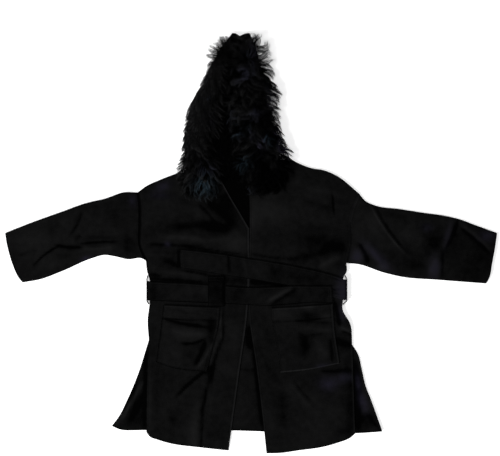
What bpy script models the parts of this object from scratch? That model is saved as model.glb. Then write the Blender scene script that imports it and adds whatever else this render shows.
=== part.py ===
"""A hooded, belted short coat of thick felted wool, laid out flat on its back with its front up.

The front is open from a V neck to the hem. A tie belt runs round the waist, through three loops, and its
two ends cross on the front. The hood and its long fur lie spread above the shoulders.

Sizes below are in millimetres. +X is the wearer's left, +Y runs from the hem to the hood and +Z points
up from the floor, which is at Z = 0. The origin is on the floor, in the middle of the coat's outline.
"""

from collections import namedtuple

import bmesh
import bpy
import numpy as np

MM = 0.001

# Thicknesses and clearances
CLOTH = 2.5
BELT = 3.0
LOOP = 2.0
SEAM_GAP = 0.3
LAYER_GAP = 0.4
SLEEVE_CLEAR = 0.75

# How far loosely lying cloth stands off what is under it, and over what distance from an edge it gets there
PUFF = 2.6
PUFF_REACH = 45.0
SLEEVE_HOLLOW = 2.8
RIM_ROLL = 6.0
POCKET_PUFF = 1.5
POCKET_PUFF_REACH = 25.0
POCKET_HEM_DEPTH = 37.0
POCKET_HEM_EXTRA = 1.2
POCKET_HEM_STEP = 4.0

# A fold keeps this much of its height at an edge of its panel, and all of it past this distance
RIPPLE_AT_EDGE = 0.35
RIPPLE_REACH = 12.0
SWELL_AT_RIM = 0.3

# What lies on a front presses it flat for this far around, and the cloth is free again after this much more
PRESS_MARGIN = 22.0
PRESS_REACH = 30.0

# The belt presses the fronts between this upper edge, as (x, y), and this lower Y
BELT_BAND_TOP = ((-240, -105), (-200, -12), (271, -100))
BELT_BAND_FOOT = -184.0

# The back's flares curl up this much, from this far outside the fronts' vent edges
FLARE_CURL = 4.0
FLARE_CLEAR = 36.0
FLARE_REACH = 44.0

# Past the back hem a front stays level this far, and then falls to the floor over the drop
HEM_CLEAR = 27.0
HEM_DROP = 28.0

BACK_TOP = CLOTH
FRONT_TOP = BACK_TOP + LAYER_GAP + CLOTH
FUR_UNDER = FRONT_TOP + LAYER_GAP

# The belt's back stretch lies on the floor, so the coat rises over it, level between these two Y and
# down to the floor over the reach
BELT_HUMP = BELT + SEAM_GAP
HUMP_LEVEL = (-205, -5)
HUMP_REACH = 85.0
BELT_UNDER = FRONT_TOP + LAYER_GAP + BELT_HUMP
POCKET_GAP = 0.6

# Hood
HOOD_BACK_TOP = 12.0
HOOD_BACK_DIP = 3.0
FUR_EDGE = 4.0
FUR_STEP_U = (0.36, 0.40)
FUR_ROUNDNESS = 2.4
TUFT_HEIGHT = 1.6
TUFTS_ALONG = 9
TUFTS_ACROSS = 3
NECK_STEP = 1.0

# The seams and edges of the coat, seen from above. A row is a line: how many straight spans its curve is
# divided into, and the points (x, y) that the curve runs through.
Line = namedtuple("Line", "spans points")

NECK_RIGHT_OUT = (-202, 202)
NECK_RIGHT_IN = (-94, 195)
NECK_LEFT_IN = (-10, 190)
NECK_LEFT_OUT = (106, 243)
SHOULDER_TIP_RIGHT = (-323, 144)
SHOULDER_TIP_LEFT = (309, 140)
UNDERARM_RIGHT = (-299, -51)
UNDERARM_LEFT = (271, -57)
VENT_TOP_RIGHT = (-291, -275)
VENT_TOP_LEFT = (288, -289)

LINES = {
    "shoulder_right": Line(6, (SHOULDER_TIP_RIGHT, (-302, 160), (-259, 180), NECK_RIGHT_OUT)),
    "neck_right": Line(5, (NECK_RIGHT_OUT, NECK_RIGHT_IN)),
    "neck_middle": Line(4, (NECK_RIGHT_IN, NECK_LEFT_IN)),
    "neck_left": Line(5, (NECK_LEFT_IN, NECK_LEFT_OUT)),
    "shoulder_left": Line(
        9, (NECK_LEFT_OUT, (134, 228), (174, 213), (205, 208), (240, 194), SHOULDER_TIP_LEFT)
    ),
    "armhole_right": Line(
        9, (SHOULDER_TIP_RIGHT, (-319, 120), (-317, 60), (-316, -12), UNDERARM_RIGHT)
    ),
    "armhole_left": Line(9, (SHOULDER_TIP_LEFT, (294, 103), (284, 68), (282, 3), UNDERARM_LEFT)),
    "side_right": Line(
        10, (UNDERARM_RIGHT, (-295, -83), (-288, -104), (-288, -166), (-294, -219), VENT_TOP_RIGHT)
    ),
    "side_left": Line(
        10, (UNDERARM_LEFT, (272, -80), (263, -97), (262, -156), (260, -186), (283, -232), VENT_TOP_LEFT)
    ),
    "front_vent_right": Line(11, (VENT_TOP_RIGHT, (-296, -380), (-298, -538))),
    "front_vent_left": Line(11, (VENT_TOP_LEFT, (291, -390), (296, -542))),
    "back_flare_right": Line(
        11, (VENT_TOP_RIGHT, (-302, -311), (-316, -356), (-353, -447), (-376, -493), (-396, -520))
    ),
    "back_flare_left": Line(
        11, (VENT_TOP_LEFT, (304, -315), (316, -362), (325, -402), (342, -447), (374, -536))
    ),
    "front_hem_right": Line(
        11, ((-298, -538), (-288, -551), (-265, -560), (-231, -570), (-145, -582), (-64, -591))
    ),
    "front_hem_left": Line(
        14, ((44, -599), (83, -598), (140, -590), (197, -582), (248, -568), (284, -553), (296, -542))
    ),
    "back_hem": Line(
        29, ((-396, -520), (-382, -527), (-296, -533), (-54, -534), (168, -541), (345, -539), (374, -536))
    ),
    "neckline_right": Line(8, (NECK_RIGHT_IN, (-83, 175), (-57, 128), (-28, 80), (-6, 42))),
    "neckline_left": Line(8, (NECK_LEFT_IN, (-5, 120), (-4, 42))),
    "front_edge_right": Line(22, ((-6, 42), (-5, -63), (-10, -185), (-37, -390), (-64, -591))),
    "front_edge_left": Line(
        22, ((-4, 42), (-4, -63), (-7, -180), (17, -362), (31, -476), (44, -599))
    ),
    "sleeve_top_right": Line(
        21,
        (SHOULDER_TIP_RIGHT, (-359, 145), (-419, 126), (-467, 115), (-544, 88), (-630, 57), (-701, 29)),
    ),
    "sleeve_under_right": Line(
        21,
        (
            UNDERARM_RIGHT, (-311, -44), (-351, -46), (-388, -38), (-419, -34),
            (-453, -43), (-539, -80), (-601, -103), (-651, -112),
        ),
    ),
    "cuff_right": Line(9, ((-701, 29), (-694, -9), (-678, -63), (-662, -98), (-651, -112))),
    "sleeve_top_left": Line(
        21,
        (
            SHOULDER_TIP_LEFT, (328, 119), (352, 108), (425, 97), (482, 88),
            (567, 75), (601, 66), (630, 55), (701, 29),
        ),
    ),
    "sleeve_under_left": Line(
        21, (UNDERARM_LEFT, (305, -60), (379, -84), (425, -95), (539, -105), (670, -115))
    ),
    "cuff_left": Line(9, ((701, 29), (695, -11), (686, -60), (679, -97), (670, -115))),
    "pocket_top_right": Line(7, ((-249, -175), (-90, -182))),
    "pocket_side_right": Line(9, ((-249, -175), (-260, -262), (-271, -339))),
    "pocket_inner_right": Line(9, ((-90, -182), (-94, -234), (-108, -291), (-127, -365))),
    "pocket_foot_right": Line(7, ((-271, -339), (-219, -356), (-174, -363), (-127, -365))),
    "pocket_top_left": Line(7, ((57, -184), (140, -180), (231, -172))),
    "pocket_inner_left": Line(9, ((57, -184), (60, -222), (71, -279), (84, -368))),
    "pocket_side_left": Line(9, ((231, -172), (237, -248), (251, -342))),
    "pocket_foot_left": Line(7, ((84, -368), (168, -359), (251, -342))),
}

# Folds of the top layer. A row is a fold: where its line starts and ends, how far its middle bows to the
# left of that line, how wide it is and how high it stands, or how deep it sinks where that is negative.
# It fades out past its ends, at these shares of its length from its middle.
Fold = namedtuple("Fold", "x0 y0 x1 y1 bow width rise")
FOLD_END = 0.64
FOLD_FADE = 0.34

BODY_FOLDS = (
    Fold(-272, 55, -40, 30, 14, 24, -2.2),
    Fold(-285, 8, -20, 12, -10, 22, 3.0),
    Fold(-290, -12, -120, -22, 6, 20, -2.0),
    Fold(-172, 112, -110, 66, 0, 18, 2.4),
    Fold(-230, 130, -180, 90, 8, 22, 1.6),
    Fold(272, 6, 110, -46, -8, 26, -2.4),
    Fold(262, 30, 60, 22, 10, 26, 2.4),
    Fold(222, 150, 226, 60, 0, 22, -1.8),
    Fold(60, 110, 190, 70, -6, 26, 1.6),
    Fold(-108, -380, -140, -585, 10, 24, 3.6),
    Fold(-205, -410, -225, -575, 6, 26, 1.8),
    Fold(-60, -330, -75, -560, 6, 18, -1.6),
    Fold(12, -280, 84, -396, -8, 26, -2.2),
    Fold(40, -420, 66, -585, 0, 22, 2.6),
    Fold(92, -440, 92, -560, 0, 22, -1.6),
    Fold(190, -400, 215, -560, -8, 30, 2.8),
    Fold(262, -400, 270, -545, 4, 18, 1.8),
)

SLEEVE_FOLDS_RIGHT = (
    Fold(-620, -60, -548, -8, 10, 17, -2.4),
    Fold(-548, -8, -480, -10, 4, 18, -2.2),
    Fold(-484, -14, -380, -6, -8, 18, 3.4),
    Fold(-486, 100, -512, 30, 4, 22, -1.6),
    Fold(-600, 40, -560, 10, 0, 26, 2.2),
    Fold(-660, -20, -600, 10, 6, 24, 2.0),
    Fold(-430, 90, -350, 60, 0, 26, 1.8),
)

SLEEVE_FOLDS_LEFT = (
    Fold(342, 100, 430, -20, -10, 17, 3.4),
    Fold(320, 60, 380, -30, -8, 20, -2.0),
    Fold(584, 60, 556, -50, 6, 20, -2.2),
    Fold(610, 40, 650, -60, 0, 24, 2.2),
    Fold(450, 40, 540, 20, 4, 28, 1.8),
    Fold(470, -40, 560, -66, 0, 24, 1.6),
)

POCKET_FOLDS_RIGHT = (
    Fold(-235, -210, -130, -232, -6, 18, 1.8),
    Fold(-205, -268, -128, -268, 8, 16, 2.2),
    Fold(-110, -290, -150, -352, 6, 15, 2.0),
)

POCKET_FOLDS_LEFT = (
    Fold(120, -215, 225, -226, 4, 17, 1.6),
    Fold(140, -256, 228, -252, 0, 17, 2.4),
    Fold(90, -320, 190, -330, 6, 20, 1.4),
)

BELT_FOLDS = (Fold(44, -166, 112, -126, 0, 9, 1.8),)

# Sections of the fur on each side of the hood, from the end of the lobe on the chest to the crown. A row
# holds the section's outer end, its lip at the opening, how far its middle sags towards the hem, and how
# high the fur stands. The lobe rows lie on a front. The others reach the floor outside the hood's back.
Section = namedtuple("Section", "x_out y_out x_lip y_lip sag crest")

LOBE_RIGHT = (
    Section(-188, 143, -112, 142, 13, 15),
    Section(-198, 160, -102, 158, 12, 30),
    Section(-202, 182, -96, 177, 5, 38),
    Section(*NECK_RIGHT_OUT, *NECK_RIGHT_IN, 0, 41),
)
CROWN_RIGHT = (
    Section(-201, 222, -99, 218, 0, 43),
    Section(-199, 243, -103, 248, 0, 44),
    Section(-193, 287, -104, 288, 0, 45),
    Section(-184, 345, -97, 338, 0, 45),
    Section(-173, 398, -86, 395, 0, 44),
    Section(-145, 443, -72, 446, 0, 42),
    Section(-128, 490, -60, 490, 0, 39),
    Section(-115, 535, -48, 530, 0, 36),
    Section(-95, 573, -39, 562, -3, 31),
    Section(-68, 591, -33, 590, -7, 24),
)
LOBE_LEFT = (
    Section(108, 148, -3, 149, 0, 15),
    Section(109, 166, -4, 160, 0, 30),
    Section(109, 200, -6, 174, 0, 38),
    Section(*NECK_LEFT_OUT, *NECK_LEFT_IN, 0, 41),
)
CROWN_LEFT = (
    Section(106, 258, -17, 226, 0, 43),
    Section(101, 288, -28, 262, 0, 44),
    Section(88, 312, -37, 300, 0, 45),
    Section(84, 345, -45, 345, 0, 45),
    Section(79, 392, -55, 395, 0, 44),
    Section(73, 447, -62, 446, 0, 42),
    Section(55, 482, -58, 490, 0, 39),
    Section(43, 524, -46, 530, 0, 36),
    Section(40, 562, -37, 562, -3, 31),
    Section(14, 591, -31, 590, -7, 24),
)
LOBE_SPANS = 7
CROWN_SPANS = 24
FUR_COLUMNS = 11
HOOD_BACK_SEEN = 4

# Stations of a belt end along the front. A row holds where the station crosses the belt's upper and lower
# edge and how high the belt's underside lies there.
Station = namedtuple("Station", "x_upper y_upper x_lower y_lower under")

CROSSING_UNDER = BELT_UNDER + BELT + LAYER_GAP
BELT_LONG = (
    Station(-289, -108, -289, -163, BELT_UNDER),
    Station(-240, -111, -240, -165, BELT_UNDER),
    Station(-191, -113, -191, -167, BELT_UNDER),
    Station(-123, -118, -123, -170, BELT_UNDER),
    Station(-70, -121, -70, -172, BELT_UNDER),
    Station(-14, -125, -14, -175, BELT_UNDER),
    Station(24, -125, 24, -177, BELT_UNDER),
    Station(54, -124, 54, -178, BELT_UNDER + 0.5 * BELT),
    Station(84, -123, 84, -176, CROSSING_UNDER),
    Station(117, -121, 117, -173, CROSSING_UNDER),
    Station(180, -121, 180, -168, CROSSING_UNDER),
    Station(228, -121, 232, -170, CROSSING_UNDER),
)
BELT_SHORT = (
    Station(265, -103, 265, -162, BELT_UNDER),
    Station(232, -90, 232, -154, BELT_UNDER),
    Station(197, -80, 197, -144, BELT_UNDER),
    Station(150, -70, 150, -132, BELT_UNDER),
    Station(105, -61, 105, -121, BELT_UNDER),
    Station(46, -51, 46, -110, BELT_UNDER),
    Station(-14, -42, -14, -100, BELT_UNDER),
    Station(-66, -33, -66, -92, BELT_UNDER),
    Station(-117, -26, -117, -84, BELT_UNDER),
    Station(-160, -21, -160, -76, BELT_UNDER),
    Station(-202, -17, -201, -70, BELT_UNDER),
)
BELT_COLUMNS = 4
TURN_SPANS = 6
TURN_TUCK = 26.0

# The front loop is a tab over the long end, and a side loop is a band that stands round each turn
FRONT_LOOP_X = (-122, -75)
FRONT_LOOP_Y = (-93, -180)
LOOP_COLUMNS = 3
LOOP_STITCHED = 13.0
LOOP_RISE = 8.0
LOOP_FOOT = 3.5
SIDE_LOOP_Y = (-92, -174)
SIDE_LOOP_BEND = 10.0
SIDE_LOOP_FOOT = 0.2
SIDE_LOOP_TOP = 12.0

CURVE_STEPS = 24
SHARP_ANGLE = 0.9

CLOTH_BLACK = (0.011, 0.011, 0.012, 1.0)
BELT_BLACK = (0.012, 0.012, 0.013, 1.0)
FUR_BLACK = (0.006, 0.006, 0.008, 1.0)


def clear_scene():
    for obj in list(bpy.data.objects):
        bpy.data.objects.remove(obj, do_unlink=True)


def make_material(name, colour, roughness):
    material = bpy.data.materials.new(name)
    material.use_nodes = True
    shader = material.node_tree.nodes["Principled BSDF"]
    shader.inputs["Base Color"].default_value = colour
    shader.inputs["Roughness"].default_value = roughness
    shader.inputs["Metallic"].default_value = 0.0
    return material


def ease(value):
    """0 below 0, 1 above 1 and a soft step between them."""
    value = np.clip(value, 0.0, 1.0)
    return value * value * (3.0 - 2.0 * value)


def through(points, spans):
    """Points at even distances along the smooth curve through the given points, ends included."""
    points = np.array(points, float)
    steps = np.linalg.norm(np.diff(points, axis=0), axis=1)
    at = np.concatenate([[0.0], np.cumsum(steps)])
    slopes = np.gradient(points, at, axis=0)
    fine = np.linspace(0.0, at[-1], CURVE_STEPS * spans + 1)
    left = np.clip(np.searchsorted(at, fine, side="right") - 1, 0, len(steps) - 1)
    length = steps[left][:, None]
    t = ((fine - at[left]) / steps[left])[:, None]
    curve = (
        (1 + 2 * t) * (1 - t) ** 2 * points[left]
        + t * (1 - t) ** 2 * length * slopes[left]
        + t**2 * (3 - 2 * t) * points[left + 1]
        + t**2 * (t - 1) * length * slopes[left + 1]
    )
    travelled = np.concatenate([[0.0], np.cumsum(np.linalg.norm(np.diff(curve, axis=0), axis=1))])
    wanted = np.linspace(0.0, travelled[-1], spans + 1)
    return np.stack([np.interp(wanted, travelled, column) for column in curve.T], axis=1)


def edge(*names):
    """The named lines joined end to end, as points in the plane."""
    curves = [through(LINES[name].points, LINES[name].spans) for name in names]
    return np.concatenate([curves[0]] + [curve[1:] for curve in curves[1:]])


def patch(first, last, near, far):
    """A grid of plan points between four edges: first and last are rows, near and far join their ends."""
    u = np.linspace(0.0, 1.0, len(first))[None, :, None]
    v = np.linspace(0.0, 1.0, len(near))[:, None, None]
    rows = (1 - v) * first[None] + v * last[None]
    columns = (1 - u) * near[:, None] + u * far[:, None]
    corners = (1 - v) * ((1 - u) * first[0] + u * first[-1]) + v * ((1 - u) * last[0] + u * last[-1])
    return rows + columns - corners


def outline_of(plan):
    return np.concatenate([plan[0], plan[1:, -1], plan[-1, -2::-1], plan[-2:0:-1, 0]])


def distance_to(plan, outline):
    """How far each plan point lies from a closed outline."""
    nearest = np.full(plan.shape[:2], np.inf)
    for a, b in zip(outline, np.roll(outline, -1, axis=0)):
        run = b - a
        if not run.any():
            continue
        t = np.clip(((plan - a) @ run) / (run @ run), 0.0, 1.0)
        nearest = np.minimum(nearest, np.linalg.norm(plan - a - t[..., None] * run, axis=2))
    return nearest


def inside(plan, outline):
    """Whether each plan point lies inside a closed outline."""
    found = np.zeros(plan.shape[:2], bool)
    x, y = plan[..., 0], plan[..., 1]
    for (ax, ay), (bx, by) in zip(outline, np.roll(outline, -1, axis=0)):
        spans_y = (ay > y) != (by > y)
        with np.errstate(divide="ignore", invalid="ignore"):
            crossing = ax + (y - ay) * (bx - ax) / (by - ay)
        found ^= spans_y & (x < crossing)
    return found


def fold_height(plan, folds):
    """The sum of the folds' heights at each plan point."""
    total = np.zeros(plan.shape[:2])
    for fold in folds:
        start = np.array((fold.x0, fold.y0))
        run = np.array((fold.x1, fold.y1)) - start
        length = np.hypot(*run)
        offset = plan - start
        along = (offset @ run) / length**2
        bowed = fold.bow * 4 * along * (1 - along)
        across = (offset @ np.array((-run[1], run[0]))) / length - bowed
        fade = ease((FOLD_END - np.abs(along - 0.5)) / FOLD_FADE)
        total += fold.rise * fade * np.exp(-((across / fold.width) ** 2))
    return total


def slab_loops(plan, under, over):
    """Closed sections of a wall between two heights over a grid of plan points, one for each row."""
    lower = np.dstack([plan, under])
    upper = np.dstack([plan, over])
    return [np.concatenate([low, high[::-1]]) for low, high in zip(lower, upper)]


def loft(name, loops, material, parent, ring=False):
    """One closed solid through the sections, which a ring joins up and which otherwise ends in two caps."""
    loops = np.array(loops)
    rows, count = loops.shape[:2]
    faces = []
    for row in range(rows if ring else rows - 1):
        here, there = row * count, (row + 1) % rows * count
        for i in range(count):
            j = (i + 1) % count
            faces.append((here + i, here + j, there + j, there + i))
    if not ring:
        for start in (0, (rows - 1) * count):
            for i in range(count // 2 - 1):
                j = count - 1 - i
                faces.append((start + i, start + i + 1, start + j - 1, start + j))
    points = loops.reshape(-1, 3)
    centre = 0.5 * (points.min(axis=0) + points.max(axis=0))
    mesh = bpy.data.meshes.new(name)
    mesh.from_pydata(((points - centre) * MM).tolist(), [], faces)
    face_outwards(mesh)
    mesh.shade_smooth()
    mesh.set_sharp_from_angle(angle=SHARP_ANGLE)
    mesh.materials.append(material)
    obj = bpy.data.objects.new(name, mesh)
    obj.location = centre * MM
    obj.parent = parent
    bpy.context.scene.collection.objects.link(obj)
    return obj


def face_outwards(mesh):
    shape = bmesh.new()
    shape.from_mesh(mesh)
    bmesh.ops.recalc_face_normals(shape, faces=shape.faces)
    shape.to_mesh(mesh)
    shape.free()


def freedom(plan):
    """1 where a front lies free and 0 where the belt, a pocket or the fur presses it flat."""
    x, y = plan[..., 0], plan[..., 1]
    upper = np.interp(x, *np.transpose(BELT_BAND_TOP))
    outside = np.maximum(y - upper, BELT_BAND_FOOT - y)
    free = ease((outside - PRESS_MARGIN) / PRESS_REACH)
    pressing = [outline_of(pocket_plan(side)) for side in ("right", "left")]
    pressing += [lobe_outline(lobe) for lobe in (LOBE_RIGHT, LOBE_LEFT)]
    for outline in pressing:
        away = np.where(inside(plan, outline), 0.0, distance_to(plan, outline))
        free = free * ease((away - PRESS_MARGIN) / PRESS_REACH)
    return free


def pocket_plan(side):
    """The grid of a pocket, whose first column is the one nearest the wearer's right."""
    near, far = ("side", "inner") if side == "right" else ("inner", "side")
    return patch(
        edge(f"pocket_top_{side}"),
        edge(f"pocket_foot_{side}"),
        edge(f"pocket_{near}_{side}"),
        edge(f"pocket_{far}_{side}"),
    )


def lobe_outline(sections):
    outer = [(row.x_out, row.y_out) for row in sections]
    lips = [(row.x_lip, row.y_lip) for row in sections]
    first = sections[0]
    foot = (0.5 * (first.x_out + first.x_lip), 0.5 * (first.y_out + first.y_lip) - first.sag)
    return np.array([foot, *outer, *lips[::-1]], float)


def back_hem_height(plan, height):
    """A height above the back that falls to the floor past the back's hem."""
    hem = through(LINES["back_hem"].points, LINES["back_hem"].spans)
    past = np.interp(plan[..., 0], hem[:, 0], hem[:, 1]) - plan[..., 1]
    return height * (1.0 - ease((past - HEM_CLEAR) / HEM_DROP))


def hump_over_belt(plan):
    """How far the coat rises over the stretch of belt that runs under it."""
    low, high = HUMP_LEVEL
    outside = np.maximum(plan[..., 1] - high, low - plan[..., 1])
    return BELT_HUMP * (1.0 - ease(outside / HUMP_REACH))


def beyond_fronts(plan):
    """0 under the fronts and up to 1 on the flares, well out from the fronts' vent edges."""
    x, y = plan[..., 0], plan[..., 1]
    beyond = np.full(x.shape, -np.inf)
    for name, outwards in (("front_vent_right", -1), ("front_vent_left", 1)):
        vent = edge(name)[::-1]
        beyond = np.maximum(beyond, outwards * (x - np.interp(y, vent[:, 1], vent[:, 0])))
    return ease((beyond - FLARE_CLEAR) / FLARE_REACH)


def build_back(material, parent):
    plan = patch(
        edge("shoulder_right", "neck_right", "neck_middle", "neck_left", "shoulder_left"),
        edge("back_hem"),
        edge("armhole_right", "side_right", "back_flare_right"),
        edge("armhole_left", "side_left", "back_flare_left"),
    )
    under = hump_over_belt(plan) + FLARE_CURL * beyond_fronts(plan)
    loft("back_panel", slab_loops(plan, under, under + CLOTH), material, parent)


def front_under(plan):
    """The underside of a front: on the back at its edges and under what presses it, and free elsewhere."""
    rest = back_hem_height(plan, BACK_TOP + LAYER_GAP) + hump_over_belt(plan)
    from_edge = distance_to(plan, outline_of(plan))
    puff = PUFF * ease(from_edge / PUFF_REACH)
    ripple = fold_height(plan, BODY_FOLDS) * ease(from_edge / RIPPLE_REACH + RIPPLE_AT_EDGE)
    return rest + freedom(plan) * np.maximum(puff + ripple, 0.0)


def build_front(side, material, parent):
    seam = edge(f"armhole_{side}", f"side_{side}", f"front_vent_{side}")
    opening = edge(f"neckline_{side}", f"front_edge_{side}")
    hem = edge(f"front_hem_{side}")
    if side == "right":
        plan = patch(edge("shoulder_right", "neck_right"), hem, seam, opening)
    else:
        plan = patch(edge("neck_left", "shoulder_left"), hem, opening, seam)
    under = front_under(plan)
    loft(f"front_{side}", slab_loops(plan, under, under + CLOTH), material, parent)


def sleeve_section(row, from_end, folds_here):
    """The outer and the inner ring of a flattened sleeve at one station across it."""
    width = np.hypot(*(row[-1] - row[0]))
    direction = (row[-1] - row[0]) / width
    across = np.linspace(0.0, width, len(row))
    rim = np.minimum(across, width - across)
    hollow = SLEEVE_HOLLOW * ease(from_end / PUFF_REACH) + LAYER_GAP
    swell = ease(rim / PUFF_REACH + SWELL_AT_RIM)
    opened = np.maximum(hollow * swell + folds_here, LAYER_GAP)
    top = 2 * CLOTH + opened
    middle = 0.5 * (2 * CLOTH + LAYER_GAP)

    def ring(inset, low, high):
        ends = (row[0] + inset * direction, row[-1] - inset * direction)
        inner = slice(1, -1)
        lower = np.column_stack([row[inner], np.full(len(row) - 2, low)])
        upper = np.column_stack([row[inner], high[inner]])
        first = np.array([[*ends[0], middle]])
        last = np.array([[*ends[1], middle]])
        return np.concatenate([first, lower, last, upper[::-1]])

    return ring(0.0, 0.0, top), ring(CLOTH, CLOTH, top - CLOTH)


def build_sleeve(side, folds, material, parent):
    armhole = edge(f"armhole_{side}")
    shift = np.array((-SLEEVE_CLEAR if side == "right" else SLEEVE_CLEAR, 0.0))
    top = edge(f"sleeve_top_{side}") + shift
    under = edge(f"sleeve_under_{side}") + shift
    plan = patch(top, under, armhole + shift, edge(f"cuff_{side}") + shift)
    plan = finer_rims(plan.transpose(1, 0, 2))
    from_end = distance_to(plan, np.concatenate([armhole, armhole[::-1]]))
    heights = fold_height(plan, folds) * ease(from_end / PUFF_REACH)
    outer, inner = [], []
    for row, away, lift in zip(plan, from_end, heights):
        outside, within = sleeve_section(row, away, lift)
        outer.append(outside)
        inner.append(within)
    loft(f"sleeve_{side}", outer + inner[::-1], material, parent, ring=True)


def finer_rims(plan):
    """Adds a column close to each end of the rows, so that a flattened tube rolls over at its rims."""
    rows = []
    for row in plan:
        near = row[0] + RIM_ROLL * (row[1] - row[0]) / np.hypot(*(row[1] - row[0]))
        far = row[-1] + RIM_ROLL * (row[-2] - row[-1]) / np.hypot(*(row[-2] - row[-1]))
        rows.append(np.concatenate([row[:1], [near], row[1:-1], [far], row[-1:]]))
    return np.array(rows)


def build_pocket(side, folds, material, parent):
    plan = pocket_plan(side)
    from_edge = distance_to(plan, outline_of(plan))
    puff = POCKET_PUFF * ease(from_edge / POCKET_PUFF_REACH)
    ripple = fold_height(plan, folds) * ease(from_edge / POCKET_PUFF_REACH)
    under = FRONT_TOP + POCKET_GAP + np.maximum(puff + ripple, 0.0) + hump_over_belt(plan)
    below_top = np.linalg.norm(plan - plan[:1], axis=2)
    hem = POCKET_HEM_EXTRA * (1.0 - ease((below_top - POCKET_HEM_DEPTH) / POCKET_HEM_STEP))
    loft(f"pocket_{side}", slab_loops(plan, under, under + CLOTH + hem), material, parent)


def belt_grid(stations):
    upper = np.array([(s.x_upper, s.y_upper) for s in stations], float)
    lower = np.array([(s.x_lower, s.y_lower) for s in stations], float)
    share = np.linspace(0.0, 1.0, BELT_COLUMNS + 1)[None, :, None]
    return (1 - share) * upper[:, None] + share * lower[:, None]


def belt_turn(row, outwards, under):
    """Sections of the belt where it turns round the coat's side, from under the back to the front."""
    radius = 0.5 * under
    tucked = row - outwards * np.array((TURN_TUCK, 0.0))
    loops = [turn_section(tucked, 0.0, -1.0, outwards, 0.5 * BELT)]
    for angle in np.linspace(-0.5 * np.pi, 0.5 * np.pi, TURN_SPANS + 1):
        moved = row + outwards * np.array((radius * np.cos(angle), 0.0))
        height = 0.5 * BELT + radius + radius * np.sin(angle)
        loops.append(turn_section(moved, np.cos(angle), np.sin(angle), outwards, height))
    return loops


def turn_section(row, normal_x, normal_z, outwards, height):
    """A section across the belt, whose outer face looks along the given normal."""
    half = 0.5 * BELT
    shift_x = outwards * half * normal_x
    level = np.full(len(row), height)
    inner = np.column_stack([row[:, 0] - shift_x, row[:, 1], level - half * normal_z])
    outer = np.column_stack([row[:, 0] + shift_x, row[:, 1], level + half * normal_z])
    return np.concatenate([inner, outer[::-1]])


def build_belt_end(name, stations, outwards, folds, material, parent):
    plan = belt_grid(stations)
    heights = np.repeat([[s.under] for s in stations], BELT_COLUMNS + 1, axis=1)
    crease = np.maximum(fold_height(plan, folds), 0.0)
    flat = slab_loops(plan, heights, heights + BELT + crease)
    turn = belt_turn(plan[0], outwards, stations[0].under)
    loft(name, turn + flat[1:], material, parent)


def build_belt_back(material, parent):
    near, far = BELT_LONG[0], BELT_SHORT[0]
    first = near.x_upper + TURN_TUCK + SEAM_GAP
    last = far.x_upper - TURN_TUCK - SEAM_GAP
    row_near = np.linspace((first, near.y_upper), (first, near.y_lower), BELT_COLUMNS + 1)
    row_far = np.linspace((last, far.y_upper), (last, far.y_lower), BELT_COLUMNS + 1)
    plan = np.linspace(row_near, row_far, BELT_COLUMNS + 1)
    under = np.zeros(plan.shape[:2])
    loft("belt_back", slab_loops(plan, under, under + BELT), material, parent)


def build_front_loop(material, parent):
    """A tab that steps over the long belt end and lies on the front above and below it."""
    over_belt = BELT_UNDER + BELT + LAYER_GAP
    start, end = FRONT_LOOP_Y
    profile = np.array(
        (
            (start, BELT_UNDER),
            (start - LOOP_STITCHED, BELT_UNDER),
            (start - LOOP_STITCHED - LOOP_RISE, over_belt),
            (end + 2 * LOOP_FOOT, over_belt),
            (end + LOOP_FOOT, BELT_UNDER),
            (end, BELT_UNDER),
        )
    )
    columns = np.linspace(*FRONT_LOOP_X, LOOP_COLUMNS + 1)
    plan = np.dstack(np.meshgrid(columns, profile[:, 0]))
    under = np.repeat(profile[:, 1:], LOOP_COLUMNS + 1, axis=1)
    loft("belt_loop_front", slab_loops(plan, under, under + LOOP), material, parent)


def build_side_loop(side, turn_x, material, parent):
    """A narrow band on edge that stands round the belt where it turns at the coat's side."""
    outwards = -1 if side == "right" else 1
    seam = edge(f"armhole_{side}", f"side_{side}")[::-1]
    start, end = SIDE_LOOP_Y
    clear = outwards * (SEAM_GAP + 0.5 * LOOP)
    feet = [np.interp(y, seam[:, 1], seam[:, 0]) + 1.5 * clear for y in (start, end)]
    reach = turn_x + clear
    turned = (reach, start - SIDE_LOOP_BEND), (reach, end + SIDE_LOOP_BEND)
    path = np.array([(feet[0], start), *turned, (feet[1], end)])
    loops = []
    for before, point, after in zip(path[[0, 0, 1, 2]], path, path[[1, 2, 3, 3]]):
        run = after - before
        sideways = 0.5 * LOOP * np.array((-run[1], run[0])) / np.hypot(*run)
        inner, outer = point - sideways, point + sideways
        low, high = SIDE_LOOP_FOOT, SIDE_LOOP_TOP
        loops.append(np.array([(*inner, low), (*outer, low), (*outer, high), (*inner, high)]))
    loft(f"belt_loop_side_{side}", loops, material, parent)


def fur_rows(lobe, crown):
    """The sections of a fur side at even spans: those of the lobe, then those above the neck seam."""
    seam = lobe[-1]
    above = seam._replace(y_out=seam.y_out + NECK_STEP, y_lip=seam.y_lip + NECK_STEP)
    return through(lobe, LOBE_SPANS), through((above, *crown), CROWN_SPANS)


def section_points(row, shares):
    x_out, y_out, x_lip, y_lip, sag, _ = row
    x = x_out + (x_lip - x_out) * shares
    y = y_out + (y_lip - y_out) * shares - sag * 4 * shares * (1 - shares)
    return np.column_stack([x, y])


def fur_shares():
    """Shares of a fur section, closer at both rims, with the two sides of the step over the hood's back."""
    even = 0.5 - 0.5 * np.cos(np.linspace(0.0, np.pi, FUR_COLUMNS))
    clear = even[(even < FUR_STEP_U[0] - 0.04) | (even > FUR_STEP_U[1] + 0.04)]
    return np.sort(np.concatenate([clear, FUR_STEP_U]))


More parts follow.
